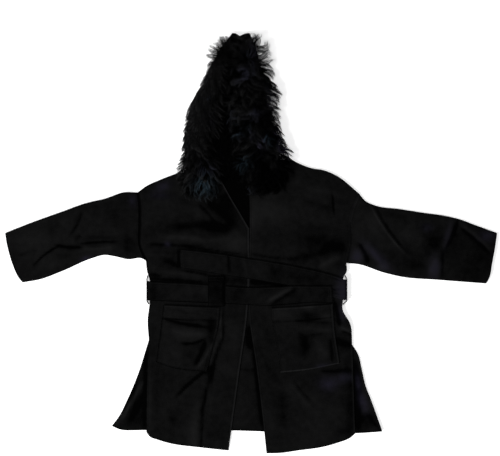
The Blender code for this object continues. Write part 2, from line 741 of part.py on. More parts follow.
def build_fur_side(side, lobe, crown, material, parent):
    shares = fur_shares()
    swell = (1.0 - np.abs(2 * shares - 1) ** FUR_ROUNDNESS) ** (1 / FUR_ROUNDNESS)
    over_back = shares > 0.5 * sum(FUR_STEP_U)
    lobe_rows, crown_rows = fur_rows(lobe, crown)
    rows = [(row, np.full(len(shares), FUR_UNDER)) for row in lobe_rows]
    rows += [(row, np.where(over_back, HOOD_BACK_TOP + LAYER_GAP, 0.0)) for row in crown_rows]
    loops = []
    for index, (row, under) in enumerate(rows):
        plan = section_points(row, shares)
        travel = index / (len(rows) - 1)
        tuft = TUFT_HEIGHT * np.sin(2 * np.pi * (TUFTS_ALONG * travel + TUFTS_ACROSS * shares)) * swell
        low_rim = np.minimum(under, under[-1]) + FUR_EDGE
        over = np.maximum(low_rim + (row[-1] - low_rim) * swell + tuft, under + FUR_EDGE)
        lower = np.column_stack([plan, under])
        upper = np.column_stack([plan, over])
        loops.append(np.concatenate([lower, upper[::-1]]))
    loft(f"hood_fur_{side}", loops, material, parent)


def build_hood_back(material, parent):
    """The back of the hood, which lies on the floor between the two fur sides and under their lips."""
    _, right = fur_rows(LOBE_RIGHT, CROWN_RIGHT)
    _, left = fur_rows(LOBE_LEFT, CROWN_LEFT)
    hidden = np.array((FUR_STEP_U[1] + 0.01, 0.7, 1.0))
    plan = []
    for near, far in zip(right, left):
        below_right, below_left = section_points(near, hidden), section_points(far, hidden[::-1])
        between = np.linspace(below_right[-1], below_left[0], HOOD_BACK_SEEN + 1)[1:-1]
        plan.append(np.concatenate([below_right, between, below_left]))
    plan = np.array(plan)
    under = np.zeros(plan.shape[:2])
    share = np.linspace(0.0, 1.0, plan.shape[1])
    over = HOOD_BACK_TOP - HOOD_BACK_DIP * np.sin(np.pi * share)[None, :] + under
    loft("hood_back", slab_loops(plan, under, over), material, parent)


def main():
    clear_scene()
    coat = bpy.data.objects.new("coat", None)
    bpy.context.scene.collection.objects.link(coat)
    wool = make_material("felted_wool", CLOTH_BLACK, 0.85)
    band = make_material("belt_wool", BELT_BLACK, 0.8)
    fur = make_material("long_fur", FUR_BLACK, 0.6)
    build_back(wool, coat)
    for side in ("right", "left"):
        build_front(side, wool, coat)
    build_sleeve("right", SLEEVE_FOLDS_RIGHT, wool, coat)
    build_sleeve("left", SLEEVE_FOLDS_LEFT, wool, coat)
    build_pocket("right", POCKET_FOLDS_RIGHT, wool, coat)
    build_pocket("left", POCKET_FOLDS_LEFT, wool, coat)
    build_belt_end("belt_long_end", BELT_LONG, -1, BELT_FOLDS, band, coat)
    build_belt_end("belt_short_end", BELT_SHORT, 1, (), band, coat)
    build_belt_back(band, coat)
    build_front_loop(wool, coat)
    turn = 0.5 * BELT_UNDER + 0.5 * BELT
    build_side_loop("right", BELT_LONG[0].x_upper - turn, wool, coat)
    build_side_loop("left", BELT_SHORT[0].x_upper + turn, wool, coat)
    build_hood_back(fur, coat)
    build_fur_side("right", LOBE_RIGHT, CROWN_RIGHT, fur, coat)
    build_fur_side("left", LOBE_LEFT, CROWN_LEFT, fur, coat)


main()
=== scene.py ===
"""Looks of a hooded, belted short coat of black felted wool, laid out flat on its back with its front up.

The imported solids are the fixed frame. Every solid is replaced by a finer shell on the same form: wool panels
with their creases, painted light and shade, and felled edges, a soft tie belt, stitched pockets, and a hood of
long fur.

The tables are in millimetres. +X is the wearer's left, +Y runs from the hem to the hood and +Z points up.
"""

import math
from collections import namedtuple

import bmesh
import bpy
import numpy as np
from bpy.props import FloatProperty, FloatVectorProperty, IntProperty, PointerProperty
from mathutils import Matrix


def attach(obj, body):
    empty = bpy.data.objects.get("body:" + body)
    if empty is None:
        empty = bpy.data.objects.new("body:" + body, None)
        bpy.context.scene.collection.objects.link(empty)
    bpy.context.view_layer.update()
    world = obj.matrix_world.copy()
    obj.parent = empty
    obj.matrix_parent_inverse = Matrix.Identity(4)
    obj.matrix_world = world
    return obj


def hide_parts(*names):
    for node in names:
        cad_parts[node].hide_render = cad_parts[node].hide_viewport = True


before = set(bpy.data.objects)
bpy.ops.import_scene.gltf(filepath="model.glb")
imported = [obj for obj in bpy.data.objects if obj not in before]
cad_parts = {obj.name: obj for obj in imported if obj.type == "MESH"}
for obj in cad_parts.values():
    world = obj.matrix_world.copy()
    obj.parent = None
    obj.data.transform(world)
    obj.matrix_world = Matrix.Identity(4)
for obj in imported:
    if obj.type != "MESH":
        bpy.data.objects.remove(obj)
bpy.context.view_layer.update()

bl_info = {
    "name": "Hooded Belted Coat",
    "version": (1, 0, 0),
    "blender": (4, 5, 0),
    "location": "View3D > Sidebar > Coat",
    "description": "Builds the wool, belt, stitching and fur of a hooded coat laid out flat",
    "category": "Add Mesh",
}

MM = 0.001
SIDES = ("right", "left")
OUTWARDS = {"right": -1, "left": 1}
CLOTH_MAP = "cloth"
VECTOR = "FLOAT_VECTOR"

# In every pair whose name ends in AT, a soft change starts at the first number and reaches over the second.

# Thicknesses of the wool, the doubled belt and a loop, and the clearances between the layers
CLOTH = 2.5
BELT = 3.0
LOOP = 2.0
SEAM_GAP = 0.3
LAYER_GAP = 0.4
SEAM_LAP = 0.8

# How high the layers lie, and the band of the coat that rises over the belt under it
FRONT_TOP = CLOTH + LAYER_GAP + CLOTH
FUR_UNDER = FRONT_TOP + LAYER_GAP
BELT_HUMP = BELT + SEAM_GAP
HUMP_LEVEL = (-205, -5)
HUMP_REACH = 85.0
BELT_UNDER = FRONT_TOP + LAYER_GAP + BELT_HUMP

# How far loosely lying cloth stands off what is under it, and how far in from its edges it does so
PUFF = 2.6
PUFF_REACH = 45.0
SLEEVE_HOLLOW = 2.8
SLEEVE_RIM = 7.0
SLEEVE_RIM_PLACES = (0.4, 1.4, 3.2, 6.0)
SWELL_AT_RIM = 0.3
RIM_FAR = 60.0

# A fold keeps this much of its height at an edge of its panel, and all of it past this distance
RIPPLE_AT_EDGE = 0.35
RIPPLE_REACH = 12.0

# Pockets: how they stand off the front, and their turned hem, a little lighter, with a line of painted shade
# below it
POCKET_GAP = 0.6
POCKET_PUFF = 1.5
POCKET_PUFF_REACH = 25.0
POCKET_HEM_DEPTH = 37.0
POCKET_HEM_EXTRA = 1.2
POCKET_HEM_STEP = 4.0
POCKET_HEM_LIGHTER = 0.08
POCKET_LINE_DEPTH = 2.0
POCKET_LINE_WIDTH = 2.2
POCKET_LINE_SHADE = 0.5

# What lies on a front presses it flat around itself
PRESS_AT = (12.0, 22.0)
BELT_BAND_TOP = ((-240, -105), (-200, -12), (271, -100))
BELT_BAND_FOOT = -184.0

# The back: its flares curl up beyond the fronts, and it lies in shadow under the hood
FLARE_CURL = 4.0
FLARE_CURL_AT = (36.0, 44.0)
FLARE_RIDGE_AT = (4.0, 12.0)
HEM_DROP_AT = (27.0, 28.0)
BACK_SHADE = 0.9
BACK_SHADE_AT = (-10.0, 60.0)

# How finely a span of a seam line is divided, the extra rows close to a cut edge, in shares of a span or in
# millimetres, and how an edge is rounded off
DENSE = 12
PANEL_FINER = 5
BACK_FINER = 4
POCKET_FINER = 5
RIM_PLACES = (0.0, 0.016, 0.06)
EDGE_PLACES = (0.0, 0.4, 1.4)
EDGE_ROUND = 1.5
EDGE_LEAST = 0.12


def table(kind, rows):
    """The rows, or a dictionary of such rows, as named tuples of the given kind."""
    if isinstance(rows, dict):
        return {key: table(kind, part) for key, part in rows.items()}
    return tuple(kind(*row) for row in rows)


# The seams and edges of the coat, seen from above. A row is a line: how many spans its curve is divided
# into, and the points (x, y) that the curve runs through.
Line = namedtuple("Line", "spans points")

NECK_RIGHT_OUT = (-202, 202)
NECK_RIGHT_IN = (-94, 195)
NECK_LEFT_IN = (-10, 190)
NECK_LEFT_OUT = (106, 243)
SHOULDER_TIP_RIGHT = (-323, 144)
SHOULDER_TIP_LEFT = (309, 140)
UNDERARM_RIGHT = (-299, -51)
UNDERARM_LEFT = (271, -57)
VENT_TOP_RIGHT = (-291, -275)
VENT_TOP_LEFT = (288, -289)

LINE_ROWS = {
    "shoulder_right": (6, SHOULDER_TIP_RIGHT, (-302, 160), (-259, 180), NECK_RIGHT_OUT),
    "neck_right": (5, NECK_RIGHT_OUT, NECK_RIGHT_IN),
    "neck_middle": (4, NECK_RIGHT_IN, NECK_LEFT_IN),
    "neck_left": (5, NECK_LEFT_IN, NECK_LEFT_OUT),
    "shoulder_left": (9, NECK_LEFT_OUT, (134, 228), (174, 213), (205, 208), (240, 194), SHOULDER_TIP_LEFT),
    "armhole_right": (9, SHOULDER_TIP_RIGHT, (-319, 120), (-317, 60), (-316, -12), UNDERARM_RIGHT),
    "armhole_left": (9, SHOULDER_TIP_LEFT, (294, 103), (284, 68), (282, 3), UNDERARM_LEFT),
    "side_right": (10, UNDERARM_RIGHT, (-295, -83), (-288, -104), (-288, -166), (-294, -219),
        VENT_TOP_RIGHT),
    "side_left": (10, UNDERARM_LEFT, (272, -80), (263, -97), (262, -156), (260, -186), (283, -232),
        VENT_TOP_LEFT),
    "front_vent_right": (11, VENT_TOP_RIGHT, (-296, -380), (-298, -538)),
    "front_vent_left": (11, VENT_TOP_LEFT, (291, -390), (296, -542)),
    "back_flare_right": (11, VENT_TOP_RIGHT, (-302, -311), (-316, -356), (-353, -447), (-376, -493),
        (-396, -520)),
    "back_flare_left": (11, VENT_TOP_LEFT, (304, -315), (316, -362), (325, -402), (342, -447), (374, -536)),
    "front_hem_right": (11, (-298, -538), (-288, -551), (-265, -560), (-231, -570), (-145, -582),
        (-64, -591)),
    "front_hem_left": (14, (44, -599), (83, -598), (140, -590), (197, -582), (248, -568), (284, -553),
        (296, -542)),
    "back_hem": (29, (-396, -520), (-382, -527), (-296, -533), (-54, -534), (168, -541), (345, -539),
        (374, -536)),
    "neckline_right": (8, NECK_RIGHT_IN, (-83, 175), (-57, 128), (-28, 80), (-6, 42)),
    "neckline_left": (8, NECK_LEFT_IN, (-5, 120), (-4, 42)),
    "front_edge_right": (22, (-6, 42), (-5, -63), (-10, -185), (-37, -390), (-64, -591)),
    "front_edge_left": (22, (-4, 42), (-4, -63), (-7, -180), (17, -362), (31, -476), (44, -599)),
    "sleeve_top_right": (21, SHOULDER_TIP_RIGHT, (-359, 145), (-419, 126), (-467, 115), (-544, 88),
        (-630, 57), (-701, 29)),
    "sleeve_under_right": (21, UNDERARM_RIGHT, (-311, -44), (-351, -46), (-388, -38), (-419, -34),
        (-453, -43), (-539, -80), (-601, -103), (-651, -112)),
    "cuff_right": (9, (-701, 29), (-694, -9), (-678, -63), (-662, -98), (-651, -112)),
    "sleeve_top_left": (21, SHOULDER_TIP_LEFT, (328, 119), (352, 108), (425, 97), (482, 88), (567, 75),
        (601, 66), (630, 55), (701, 29)),
    "sleeve_under_left": (21, UNDERARM_LEFT, (305, -60), (379, -84), (425, -95), (539, -105), (670, -115)),
    "cuff_left": (9, (701, 29), (695, -11), (686, -60), (679, -97), (670, -115)),
    "pocket_top_right": (7, (-249, -175), (-90, -182)),
    "pocket_side_right": (9, (-249, -175), (-260, -262), (-271, -339)),
    "pocket_inner_right": (9, (-90, -182), (-94, -234), (-108, -291), (-127, -365)),
    "pocket_foot_right": (7, (-271, -339), (-219, -356), (-174, -363), (-127, -365)),
    "pocket_top_left": (7, (57, -184), (140, -180), (231, -172)),
    "pocket_inner_left": (9, (57, -184), (60, -222), (71, -279), (84, -368)),
    "pocket_side_left": (9, (231, -172), (237, -248), (251, -342)),
    "pocket_foot_left": (7, (84, -368), (168, -359), (251, -342)),
}

LINES = {name: Line(spans, points) for name, (spans, *points) in LINE_ROWS.items()}

# Creases of the cloth. A row is a crease: where its line starts and ends, how far its middle bows to the left
# of that line, how wide it is, how high it stands, or how deep it sinks where that is negative, and how much
# painted light lies along it, or painted shade where that is negative. It fades out past its ends, at these
# shares of its length from its middle.
Crease = namedtuple("Crease", "x0 y0 x1 y1 bow width rise nap")
FOLD_END = 0.64
FOLD_FADE = 0.34
# The painted shading of a crease is a crisp core in a soft halo, so wide in shares of the crease's width. The
# last number is the core's part.
CORE_WIDTH = 0.6
HALO_WIDTH = 1.3
CORE_SHARE = 0.6

BODY_CREASES = table(Crease, (
    (-222, 48, -60, 38, 6, 17, -2.2, -0.32), (-150, 60, -60, 38, 4, 12, -1.6, -0.3),
    (-250, 17, -140, 12, 4, 11, 2.8, 0.36), (-160, 12, -56, 16, -4, 9, 1.6, 0.2),
    (-286, -3, -148, -9, 0, 6, -1.8, -0.48), (-290, -33, -208, -34, 0, 8, 1.6, 0.2),
    (-250, -50, -204, -68, 3, 9, -1.6, -0.45), (-255, -84, -122, -97, 3, 8, 1.6, 0.28),
    (-290, -88, -254, -94, 0, 8, -1.2, -0.5), (-288, -101, -122, -112, 0, 4.5, -0.8, -0.7),
    (-172, 116, -118, 68, 0, 15, 2.2, 0.12), (-150, 112, -104, 60, 3, 4.5, -2.2, -0.45),
    (-128, 124, -48, 46, 4, 16, -2.4, -0.55), (-230, 128, -180, 92, 8, 22, 1.4, 0),
    (-205, -14, -205, -70, 0, 4, -0.6, -0.8), (-196, -10, -10, -34, 0, 4, -0.4, -0.5),
    (-198, -77, -118, -91, 0, 5, -0.4, -0.55), (268, -10, 205, -18, -4, 20, -2.4, -0.3),
    (226, -26, 112, -52, -6, 14, -2, -0.34), (240, 34, 120, 24, 10, 24, 1.8, 0),
    (196, -68, 256, -38, 4, 10, 2.4, 0.42), (-2, -30, 130, -44, -4, 6, -0.8, -0.38),
    (222, 150, 226, 60, 0, 20, -1.2, 0), (231, 142, 236, 82, 0, 3.2, -2.2, -0.62),
    (160, 120, 226, 96, 4, 10, -1.4, -0.25), (160, 156, 250, 142, 0, 12, 1.4, 0.2),
    (-4, -109, 108, -120, 2, 8, -1, -0.95), (-108, -380, -140, -585, 10, 24, 3.4, 0),
    (-88, -180, -86, -272, 0, 3.4, 1.8, 0.65), (-80, -184, -80, -278, 0, 5, -1.8, -0.42),
    (-90, -268, -126, -408, -7, 4, 2.4, 0.4), (-80, -268, -114, -408, -7, 6, -2, -0.48),
    (-121, -362, -137, -470, 3, 4.5, -2.4, -0.62), (-137, -460, -143, -592, 0, 5, -2, -0.5),
    (-150, -440, -164, -592, 0, 14, 2.2, 0.3), (-108, -350, -208, -432, -5, 4.2, -3.6, -1),
    (-118, -372, -204, -440, -5, 8, 2.2, 0.16), (-205, -410, -225, -575, 6, 26, 1.8, 0),
    (-60, -330, -75, -560, 6, 18, -1.6, -0.1), (12, -280, 84, -396, -8, 18, -2.4, -0.26),
    (4, -250, 44, -360, -5, 7, 1.6, 0.12), (40, -420, 66, -585, 0, 22, 2.6, 0.06),
    (92, -424, 90, -520, 0, 19, -2.2, -0.3), (104, -396, 168, -470, 4, 11, 2, 0.2),
    (126, -396, 176, -452, -3, 4, -1.4, -0.25), (190, -400, 215, -560, -8, 30, 2.6, 0.06),
    (200, -366, 284, -362, 0, 6, -2, -0.62), (236, -164, 252, -236, 2, 7, -2.4, -0.85),
    (252, -238, 286, -252, 0, 8, 2.6, 0.5), (258, -250, 288, -266, 3, 5, -2.6, -0.55),
    (240, -276, 290, -290, -3, 16, -2.4, -0.62), (270, -330, 284, -430, 0, 10, -1.4, -0.2),
))

BACK_CREASES = table(Crease, (
    (-308, -396, -368, -502, 0, 5, 2.2, 0.8), (-300, -300, -303, -540, 0, 9, 0, -0.6),
    (-300, -420, -352, -520, 0, 9, -1, -0.4), (-322, -392, -384, -504, 0, 5, -1, -0.6),
    (-336, -450, -388, -518, 0, 5, 1.2, 0.4), (297, -330, 304, -538, 0, 12, 0, -0.7),
    (304, -312, 332, -500, 3, 6, 2, 0.3), (318, -372, 356, -526, 3, 7, 1.6, 0.2),
    (330, -486, 366, -532, 0, 4, -1.2, -0.5), (6, -296, 35, -536, 0, 7, 0, -0.8),
    (-4, -236, -4, -300, 0, 14, 0, -0.95), (-40, -358, 18, -360, 0, 4, -0.4, -0.3),
))

SLEEVE_CREASES = table(Crease, {
    "right": (
        (-620, -60, -548, -8, 10, 17, -2.4, 0), (-616, -61, -546, -8, 5, 3.6, -3, -0.85),
        (-548, -8, -480, -10, 4, 18, -2.2, 0), (-556, -5, -482, -11, -4, 6, -3, -0.8),
        (-484, -20, -380, -14, -6, 15, 3.2, 0.12), (-478, -16, -382, -8, -3, 6, 0.6, 0.4),
        (-486, -2, -378, 4, 2, 3.6, -2.4, -0.7), (-466, 18, -380, 15, 0, 9, -1.2, -0.28),
        (-500, 6, -482, 20, 3, 9, -1.6, -0.35), (-484, 92, -516, 26, 4, 20, -1.4, 0),
        (-482, 88, -514, 24, 4, 5.5, -1.8, -0.45), (-600, 40, -560, 10, 0, 26, 2.2, 0),
        (-660, -20, -600, 10, 6, 24, 2, 0), (-662, -38, -606, -18, 3, 7, -1.4, -0.28),
        (-570, -58, -510, -44, 4, 12, 2, 0.1), (-430, 90, -350, 60, 0, 26, 1.8, 0),
        (-340, 110, -338, -20, 0, 12, 1.6, 0.1),
    ),
    "left": (
        (342, 100, 430, -20, -10, 15, 3.4, 0), (342, 104, 432, -24, -6, 2.8, 2.2, 1),
        (354, 106, 438, -18, -6, 4.2, -2.4, -0.42), (320, 60, 380, -30, -8, 20, -2, 0),
        (308, 0, 334, -56, 2, 6, -3, -0.85), (330, 6, 378, -72, 4, 11, 2.6, 0),
        (588, 64, 555, -14, 3, 5, -3, -0.95), (584, 60, 556, -50, 6, 20, -2.2, -0.1),
        (570, 60, 550, -14, 3, 8, 2.2, 0.35), (545, -18, 543, -98, 0, 5, -1.4, -0.5),
        (610, 40, 650, -60, 0, 24, 2.2, 0), (598, 54, 680, -18, 3, 9, 1.8, 0.45),
        (598, 42, 680, -32, 3, 6, -1.8, -0.5), (450, 40, 540, 20, 4, 28, 1.8, 0),
        (396, 82, 450, 58, 4, 10, -1.4, -0.2), (440, -18, 520, -30, -6, 14, -1.6, -0.15),
        (470, -40, 560, -66, 0, 24, 1.6, 0), (528, -36, 514, -94, 0, 12, 2.4, 0.2),
    ),
})

POCKET_CREASES = table(Crease, {
    "right": (
        (-244, -180, -126, -188, 0, 4, 0, 0.4), (-204, -194, -126, -205, 0, 4, -0.8, -0.35),
        (-244, -215, -124, -238, -4, 4.8, -2.2, -0.85), (-225, -248, -128, -258, -5, 14, 2.2, 0.3),
        (-198, -285, -130, -271, -6, 4.2, -2.2, -0.8), (-205, -268, -128, -262, 8, 12, 1.4, 0.1),
        (-130, -278, -160, -346, 3, 6, -2.4, -0.85), (-110, -286, -150, -352, 3, 5, 2, 0.65),
        (-100, -262, -127, -362, 0, 4.5, -1, -0.5), (-240, -290, -180, -330, 0, 18, 1.2, 0.12),
    ),
    "left": (
        (62, -188, 184, -178, 0, 4, 0, 0.45), (130, -222, 230, -226, 0, 5, -1.5, -0.35),
        (124, -240, 230, -246, 0, 10, 2.2, 0.22), (142, -254, 150, -318, 6, 12, -1.8, -0.3),
        (178, -270, 214, -322, 4, 14, 1.6, 0.2), (168, -262, 205, -258, 0, 5, -1.2, -0.25),
        (90, -320, 150, -330, 6, 20, 1.2, 0.05), (225, -274, 232, -338, 0, 4.5, -1.6, -0.75),
    ),
})

BELT_CREASES = table(Crease, {
    "long": (
        (46, -166, 116, -126, 0, 8, 1.8, 0.75), (60, -172, 128, -130, 0, 8, -0.9, -0.4),
        (-176, -120, -168, -166, 0, 9, 0.8, 0.1), (150, -124, 176, -168, 0, 12, 0.9, 0.1),
        (228, -118, 231, -172, 0, 2.6, 0, 1), (-262, -166, -84, -172, 0, 3.2, 0, -0.75),
        (56, -179, 186, -171, 0, 3.2, 0, -0.75),
    ),
    "short": (
        (-120, -30, -116, -84, 0, 6, 0.8, 0.1), (-64, -30, -62, -86, 0, 4, -0.8, -0.5),
        (-20, -42, -12, -98, 0, 7, 0.8, 0.2), (60, -52, 68, -112, 0, 14, -0.6, -0.15),
        (150, -72, 168, -134, 0, 16, 0.7, 0.05), (226, -100, 296, -114, 0, 2.6, -0.6, -0.6),
        (226, -134, 296, -127, 0, 3, -0.8, -0.8), (226, -142, 296, -150, 0, 2.6, -0.6, -0.6),
    ),
})

# A patch of a look: its middle, its two half widths, how strong it is, its turn in degrees and its tint.
Patch = namedtuple("Patch", "x y long wide amount turn tint", defaults=(0, 0))

# Where light is painted into the wool, or shade where the amount is negative. The tint is a painted cold
# violet sheen.
PAINTED_SHADING_PATCHES = table(Patch, {
    "front": (
        (-252, 160, 22, 12, 0.16, 25, 0.85), (-215, 42, 60, 12, -0.18, 8),
        (-258, 134, 30, 9, -0.32, 0, 0.4), (-98, 42, 34, 17, -0.4, -8), (-66, 112, 24, 50, -0.45, 28),
        (-40, 0, 34, 26, 0.55), (4, 62, 14, 34, 0.4), (-237, -3, 8, 8, 0, 0, 0.8),
        (-236, -40, 44, 16, -0.22), (-234, 92, 42, 24, 0.16, 5), (-62, -104, 50, 11, -0.35, -6),
        (46, 98, 56, 46, 0.38), (120, 84, 66, 30, 0.14), (172, 8, 52, 26, -0.34),
        (248, -14, 34, 20, -0.34, -15), (252, -62, 16, 11, -0.3), (204, 60, 42, 16, 0.14),
        (-50, -262, 21, 48, 0.26), (-68, -362, 30, 24, 0.28), (-165, -524, 20, 46, 0.18),
        (-271, -450, 12, 64, -0.2), (-222, -503, 13, 13, -0.28), (-290, -460, 7, 90, 0.2),
        (-118, -364, 11, 14, -0.5), (-100, -540, 24, 40, -0.06), (232, -480, 28, 28, 0.22),
        (283, -470, 12, 70, -0.35), (266, -537, 34, 14, -0.35, 20), (220, -400, 24, 18, 0.2, 0, 1),
        (264, -384, 22, 12, 0.2, 10, 0.9), (262, -194, 10, 22, 0.8, 0, 0.8),
        (266, -130, 14, 40, 0.7, 0, 0.9), (-84, -470, 34, 90, 0.1), (150, -540, 90, 50, 0.16),
    ),
    "back": (
        (-328, -470, 24, 56, -0.35), (-12, -328, 14, 18, 0.22), (320, -455, 11, 26, 0.25, 15, 1),
        (306, -400, 7, 26, -0.3, 8, 0.8), (334, -500, 26, 26, -0.45), (302, -470, 9, 60, -0.5),
    ),
    "sleeve_right": (
        (-620, 0, 60, 60, 0.2), (-520, 0, 190, 100, 0.12), (-557, 37, 26, 18, -0.14),
        (-388, 82, 40, 34, -0.2), (-369, 58, 22, 10, -0.12), (-347, -2, 22, 26, -0.38),
        (-532, -40, 18, 11, -0.26), (-470, -44, 16, 7, 0.25, 20, 0.9), (-337, 121, 10, 16, 0.1, 0, 0.7),
    ),
    "sleeve_left": (
        (340, 40, 48, 48, 0.24), (444, 20, 28, 20, 0.22), (302, -38, 14, 17, 0.9, 0, 1),
        (358, -35, 44, 11, 0.45, -46, 1), (374, -68, 14, 10, 0.9, 0, 0.6), (468, -62, 36, 18, -0.32),
        (516, 6, 22, 28, -0.42), (500, 44, 15, 11, -0.15, 0, 0.5), (560, 24, 8, 34, 0.1, -15, 0.5),
        (521, -70, 14, 28, 0.7, -6, 1), (626, -30, 60, 74, -0.33), (617, -26, 25, 36, 0.16, -20),
        (672, 20, 20, 13, 0.1, 0, 0.8),
    ),
    "pocket_right": (
        (-166, -200, 42, 8, 0.3, -5), (-176, -254, 42, 12, 0.25, -6), (-113, -234, 12, 36, -0.5),
        (-225, -322, 30, 30, 0.12), (-188, -322, 24, 9, -0.12),
    ),
    "pocket_left": (
        (88, -200, 26, 13, 0.32), (162, -180, 26, 8, 0.6, 5), (164, -208, 31, 13, -0.48),
        (213, -210, 14, 11, 0.36), (222, -246, 14, 14, 0.15), (158, -285, 24, 30, -0.3),
        (198, -300, 22, 26, 0.2), (205, -352, 22, 8, 0.1, 6, 0.7),
    ),
    "belt_long": (
        (-278, -138, 11, 30, -0.25), (-180, -133, 46, 12, 0.1), (-134, -134, 10, 13, 0.28),
        (-40, -145, 32, 26, -0.14), (-8, -134, 12, 8, 0.22), (150, -146, 60, 22, -0.1),
        (211, -146, 11, 20, -0.28),
    ),
    "belt_short": (
        (-135, -50, 54, 24, 0.12, -8), (-40, -62, 16, 24, -0.16), (28, -76, 24, 16, 0.2, -8),
        (140, -96, 80, 24, -0.25, -12), (262, -130, 18, 44, 0.9, 0, 0.9),
    ),
    "loop": (
        (-98, -130, 40, 70, -0.38), (-76, -140, 5, 40, -0.5), (284, -130, 20, 60, 0.9, 0, 0.8),
    ),
})

# Edges beside which shade is painted into the wool, in the groove or gap along them: the line's name, how
# dark, and how wide in millimetres
PAINTED_SHADE_EDGES = (
    ("armhole_right", 0.95, 2.8), ("armhole_left", 0.30, 3.0), ("pocket_side_right", 0.55, 2.4),
    ("pocket_foot_right", 0.50, 2.4), ("back_hem", 0.35, 3.0),
)

# Edges that show a fine pale line, partly their felled rim and partly a painted highlight where the edge
# catches the light: the line's name and how pale it is
PALE_EDGES = (
    ("neckline_right", 1.0), ("front_edge_right", 1.0), ("front_edge_left", 0.22),
    ("front_vent_left", 0.60), ("pocket_foot_left", 1.0), ("pocket_side_left", 0.70),
    ("pocket_inner_right", 0.30), ("armhole_left", 0.40), ("back_flare_right", 0.20),
    ("back_flare_left", 0.20),
)

PALE_WIDTH = 1.9

# Sections of the fur on each side of the hood, from the end of the lobe on the chest to the crown. A row
# holds the section's outer end, its lip at the opening, how far its middle sags towards the hem, and how
# high the fur stands. The lobe rows lie on a front. The others reach the floor outside the hood's back.
Section = namedtuple("Section", "x_out y_out x_lip y_lip sag crest")

LOBES = table(Section, {
    "right": (
        (-188, 143, -112, 142, 13, 15), (-198, 160, -102, 158, 12, 30), (-202, 182, -96, 177, 5, 38),
        (*NECK_RIGHT_OUT, *NECK_RIGHT_IN, 0, 41),
    ),
    "left": (
        (108, 148, -3, 149, 0, 15), (109, 166, -4, 160, 0, 30), (109, 200, -6, 174, 0, 38),
        (*NECK_LEFT_OUT, *NECK_LEFT_IN, 0, 41),
    ),
})

CROWNS = table(Section, {
    "right": (
        (-201, 222, -99, 218, 0, 43), (-199, 243, -103, 248, 0, 44), (-193, 287, -104, 288, 0, 45),
        (-184, 345, -97, 338, 0, 45), (-173, 398, -86, 395, 0, 44), (-145, 443, -72, 446, 0, 42),
        (-128, 490, -60, 490, 0, 39), (-115, 535, -48, 530, 0, 36), (-95, 573, -39, 562, -3, 31),
        (-68, 591, -33, 590, -7, 24),
    ),
    "left": (
        (106, 258, -17, 226, 0, 43), (101, 288, -28, 262, 0, 44), (88, 312, -37, 300, 0, 45),
        (84, 345, -45, 345, 0, 45), (79, 392, -55, 395, 0, 44), (73, 447, -62, 446, 0, 42),
        (55, 482, -58, 490, 0, 39), (43, 524, -46, 530, 0, 36), (40, 562, -37, 562, -3, 31),
        (14, 591, -31, 590, -7, 24),
    ),
})

# Where light is painted into the fur, or shade where the amount is negative
FUR_TONES = table(Patch, (
    (-138, 452, 30, 12, 0.22, 62), (-88, 395, 85, 7, 0.24, 78), (-162, 352, 16, 44, 0.16),
    (-30, 380, 14, 60, 0.24), (-20, 535, 60, 34, 0.26), (30, 470, 40, 30, 0.12), (-178, 190, 18, 34, 0.3),
    (-94, 415, 44, 4.5, -0.6, 49), (-123, 344, 4.5, 34, -0.5), (-145, 256, 20, 20, 0.42),
    (-178, 205, 14, 30, 0.05), (-156, 285, 30, 10, -0.4), (-111, 258, 12, 26, -0.45),
    (-66, 330, 16, 70, -0.6), (-52, 240, 26, 60, -0.7), (-29, 522, 12, 20, 0.3), (-52, 492, 14, 30, -0.25),
    (40, 500, 10, 30, -0.25), (-46, 362, 16, 24, 0.34), (24, 436, 20, 12, 0.22), (46, 408, 14, 14, 0.3),
    (10, 476, 14, 14, 0.2), (-17, 271, 12, 24, 0.16), (58, 320, 34, 54, -0.5), (54, 180, 60, 44, -0.85),
    (20, 250, 20, 24, -0.4), (14, 408, 20, 8, -0.2),
))

# How each side's fur grows. Depth is how far the pile covers the skin, inset how far the skin stays inside
# the fur's outline at the outer edge and at the lip, and the rest goes to the strands.
Growth = namedtuple("Growth", "pile depth inset_out inset_lip inset_tail inset_crown lift curl down locks")
GROWTHS = {
    "right": Growth(30, 9, 8, 10, 20, 11, lift=0.42, curl=0.6, down=0.75, locks=1.0),
    "left": Growth(38, 13, 27, 14, 30, 0, lift=0.62, curl=1.4, down=0.62, locks=0.85),
}

# How much further out the skin reaches at some heights of the plan, where the fur's outline bulges
REACHES = {
    "right": (
        (200, -9), (250, -6), (282, 4), (330, 3), (396, 4), (450, 3), (500, 4), (545, 0), (570, -4),
    ),
    "left": (
        (215, -2), (230, 7), (244, 6), (266, -5), (292, 3), (325, 7), (360, -3), (415, -9), (456, 10),
        (485, 7), (530, 4), (552, -2), (572, 3),
    ),
}

# Glints in the fur, whose tint is how far they lean from violet to teal
GLINTS = table(Patch, (
    (12, 543, 12, 16, 0.7), (-22, 476, 17, 15, 1, 0, 0.1), (8, 476, 5, 13, 0.5, 0, 0.2),
    (12, 360, 18, 5, 1, 8, 0.1), (-23, 318, 13, 11, 1, 0, 0.6), (-4, 302, 12, 9, 0.6),
    (-13, 228, 10, 10, 0.9, 0, 0.8), (33, 277, 7, 20, 0.8, -28), (47, 292, 7, 7, 0.7, 0, 0.9),
    (58, 399, 9, 9, 1.2), (68, 362, 8, 9, 1.1, 0, 0.2), (80, 300, 9, 20, 1.5), (92, 268, 8, 11, 1.2),
    (-46, 357, 9, 15, 0.35, 0, 0.3), (56, 431, 11, 9, 0.4, 0, 0.2), (-126, 206, 17, 13, 0.95, 0, 0.1),
    (-134, 164, 24, 20, 1.1, 0, 0.8), (-86, 244, 5, 26, 1.2), (-111, 343, 7, 12, 0.45),
    (-84, 246, 7, 9, 0.5), (1, 155, 9, 6, 0.8, 0, 0.3), (-23, 529, 11, 15, 0.4, 0, 0.3),
    (-120, 406, 4, 4, 0.9, 0, 0.4),
))
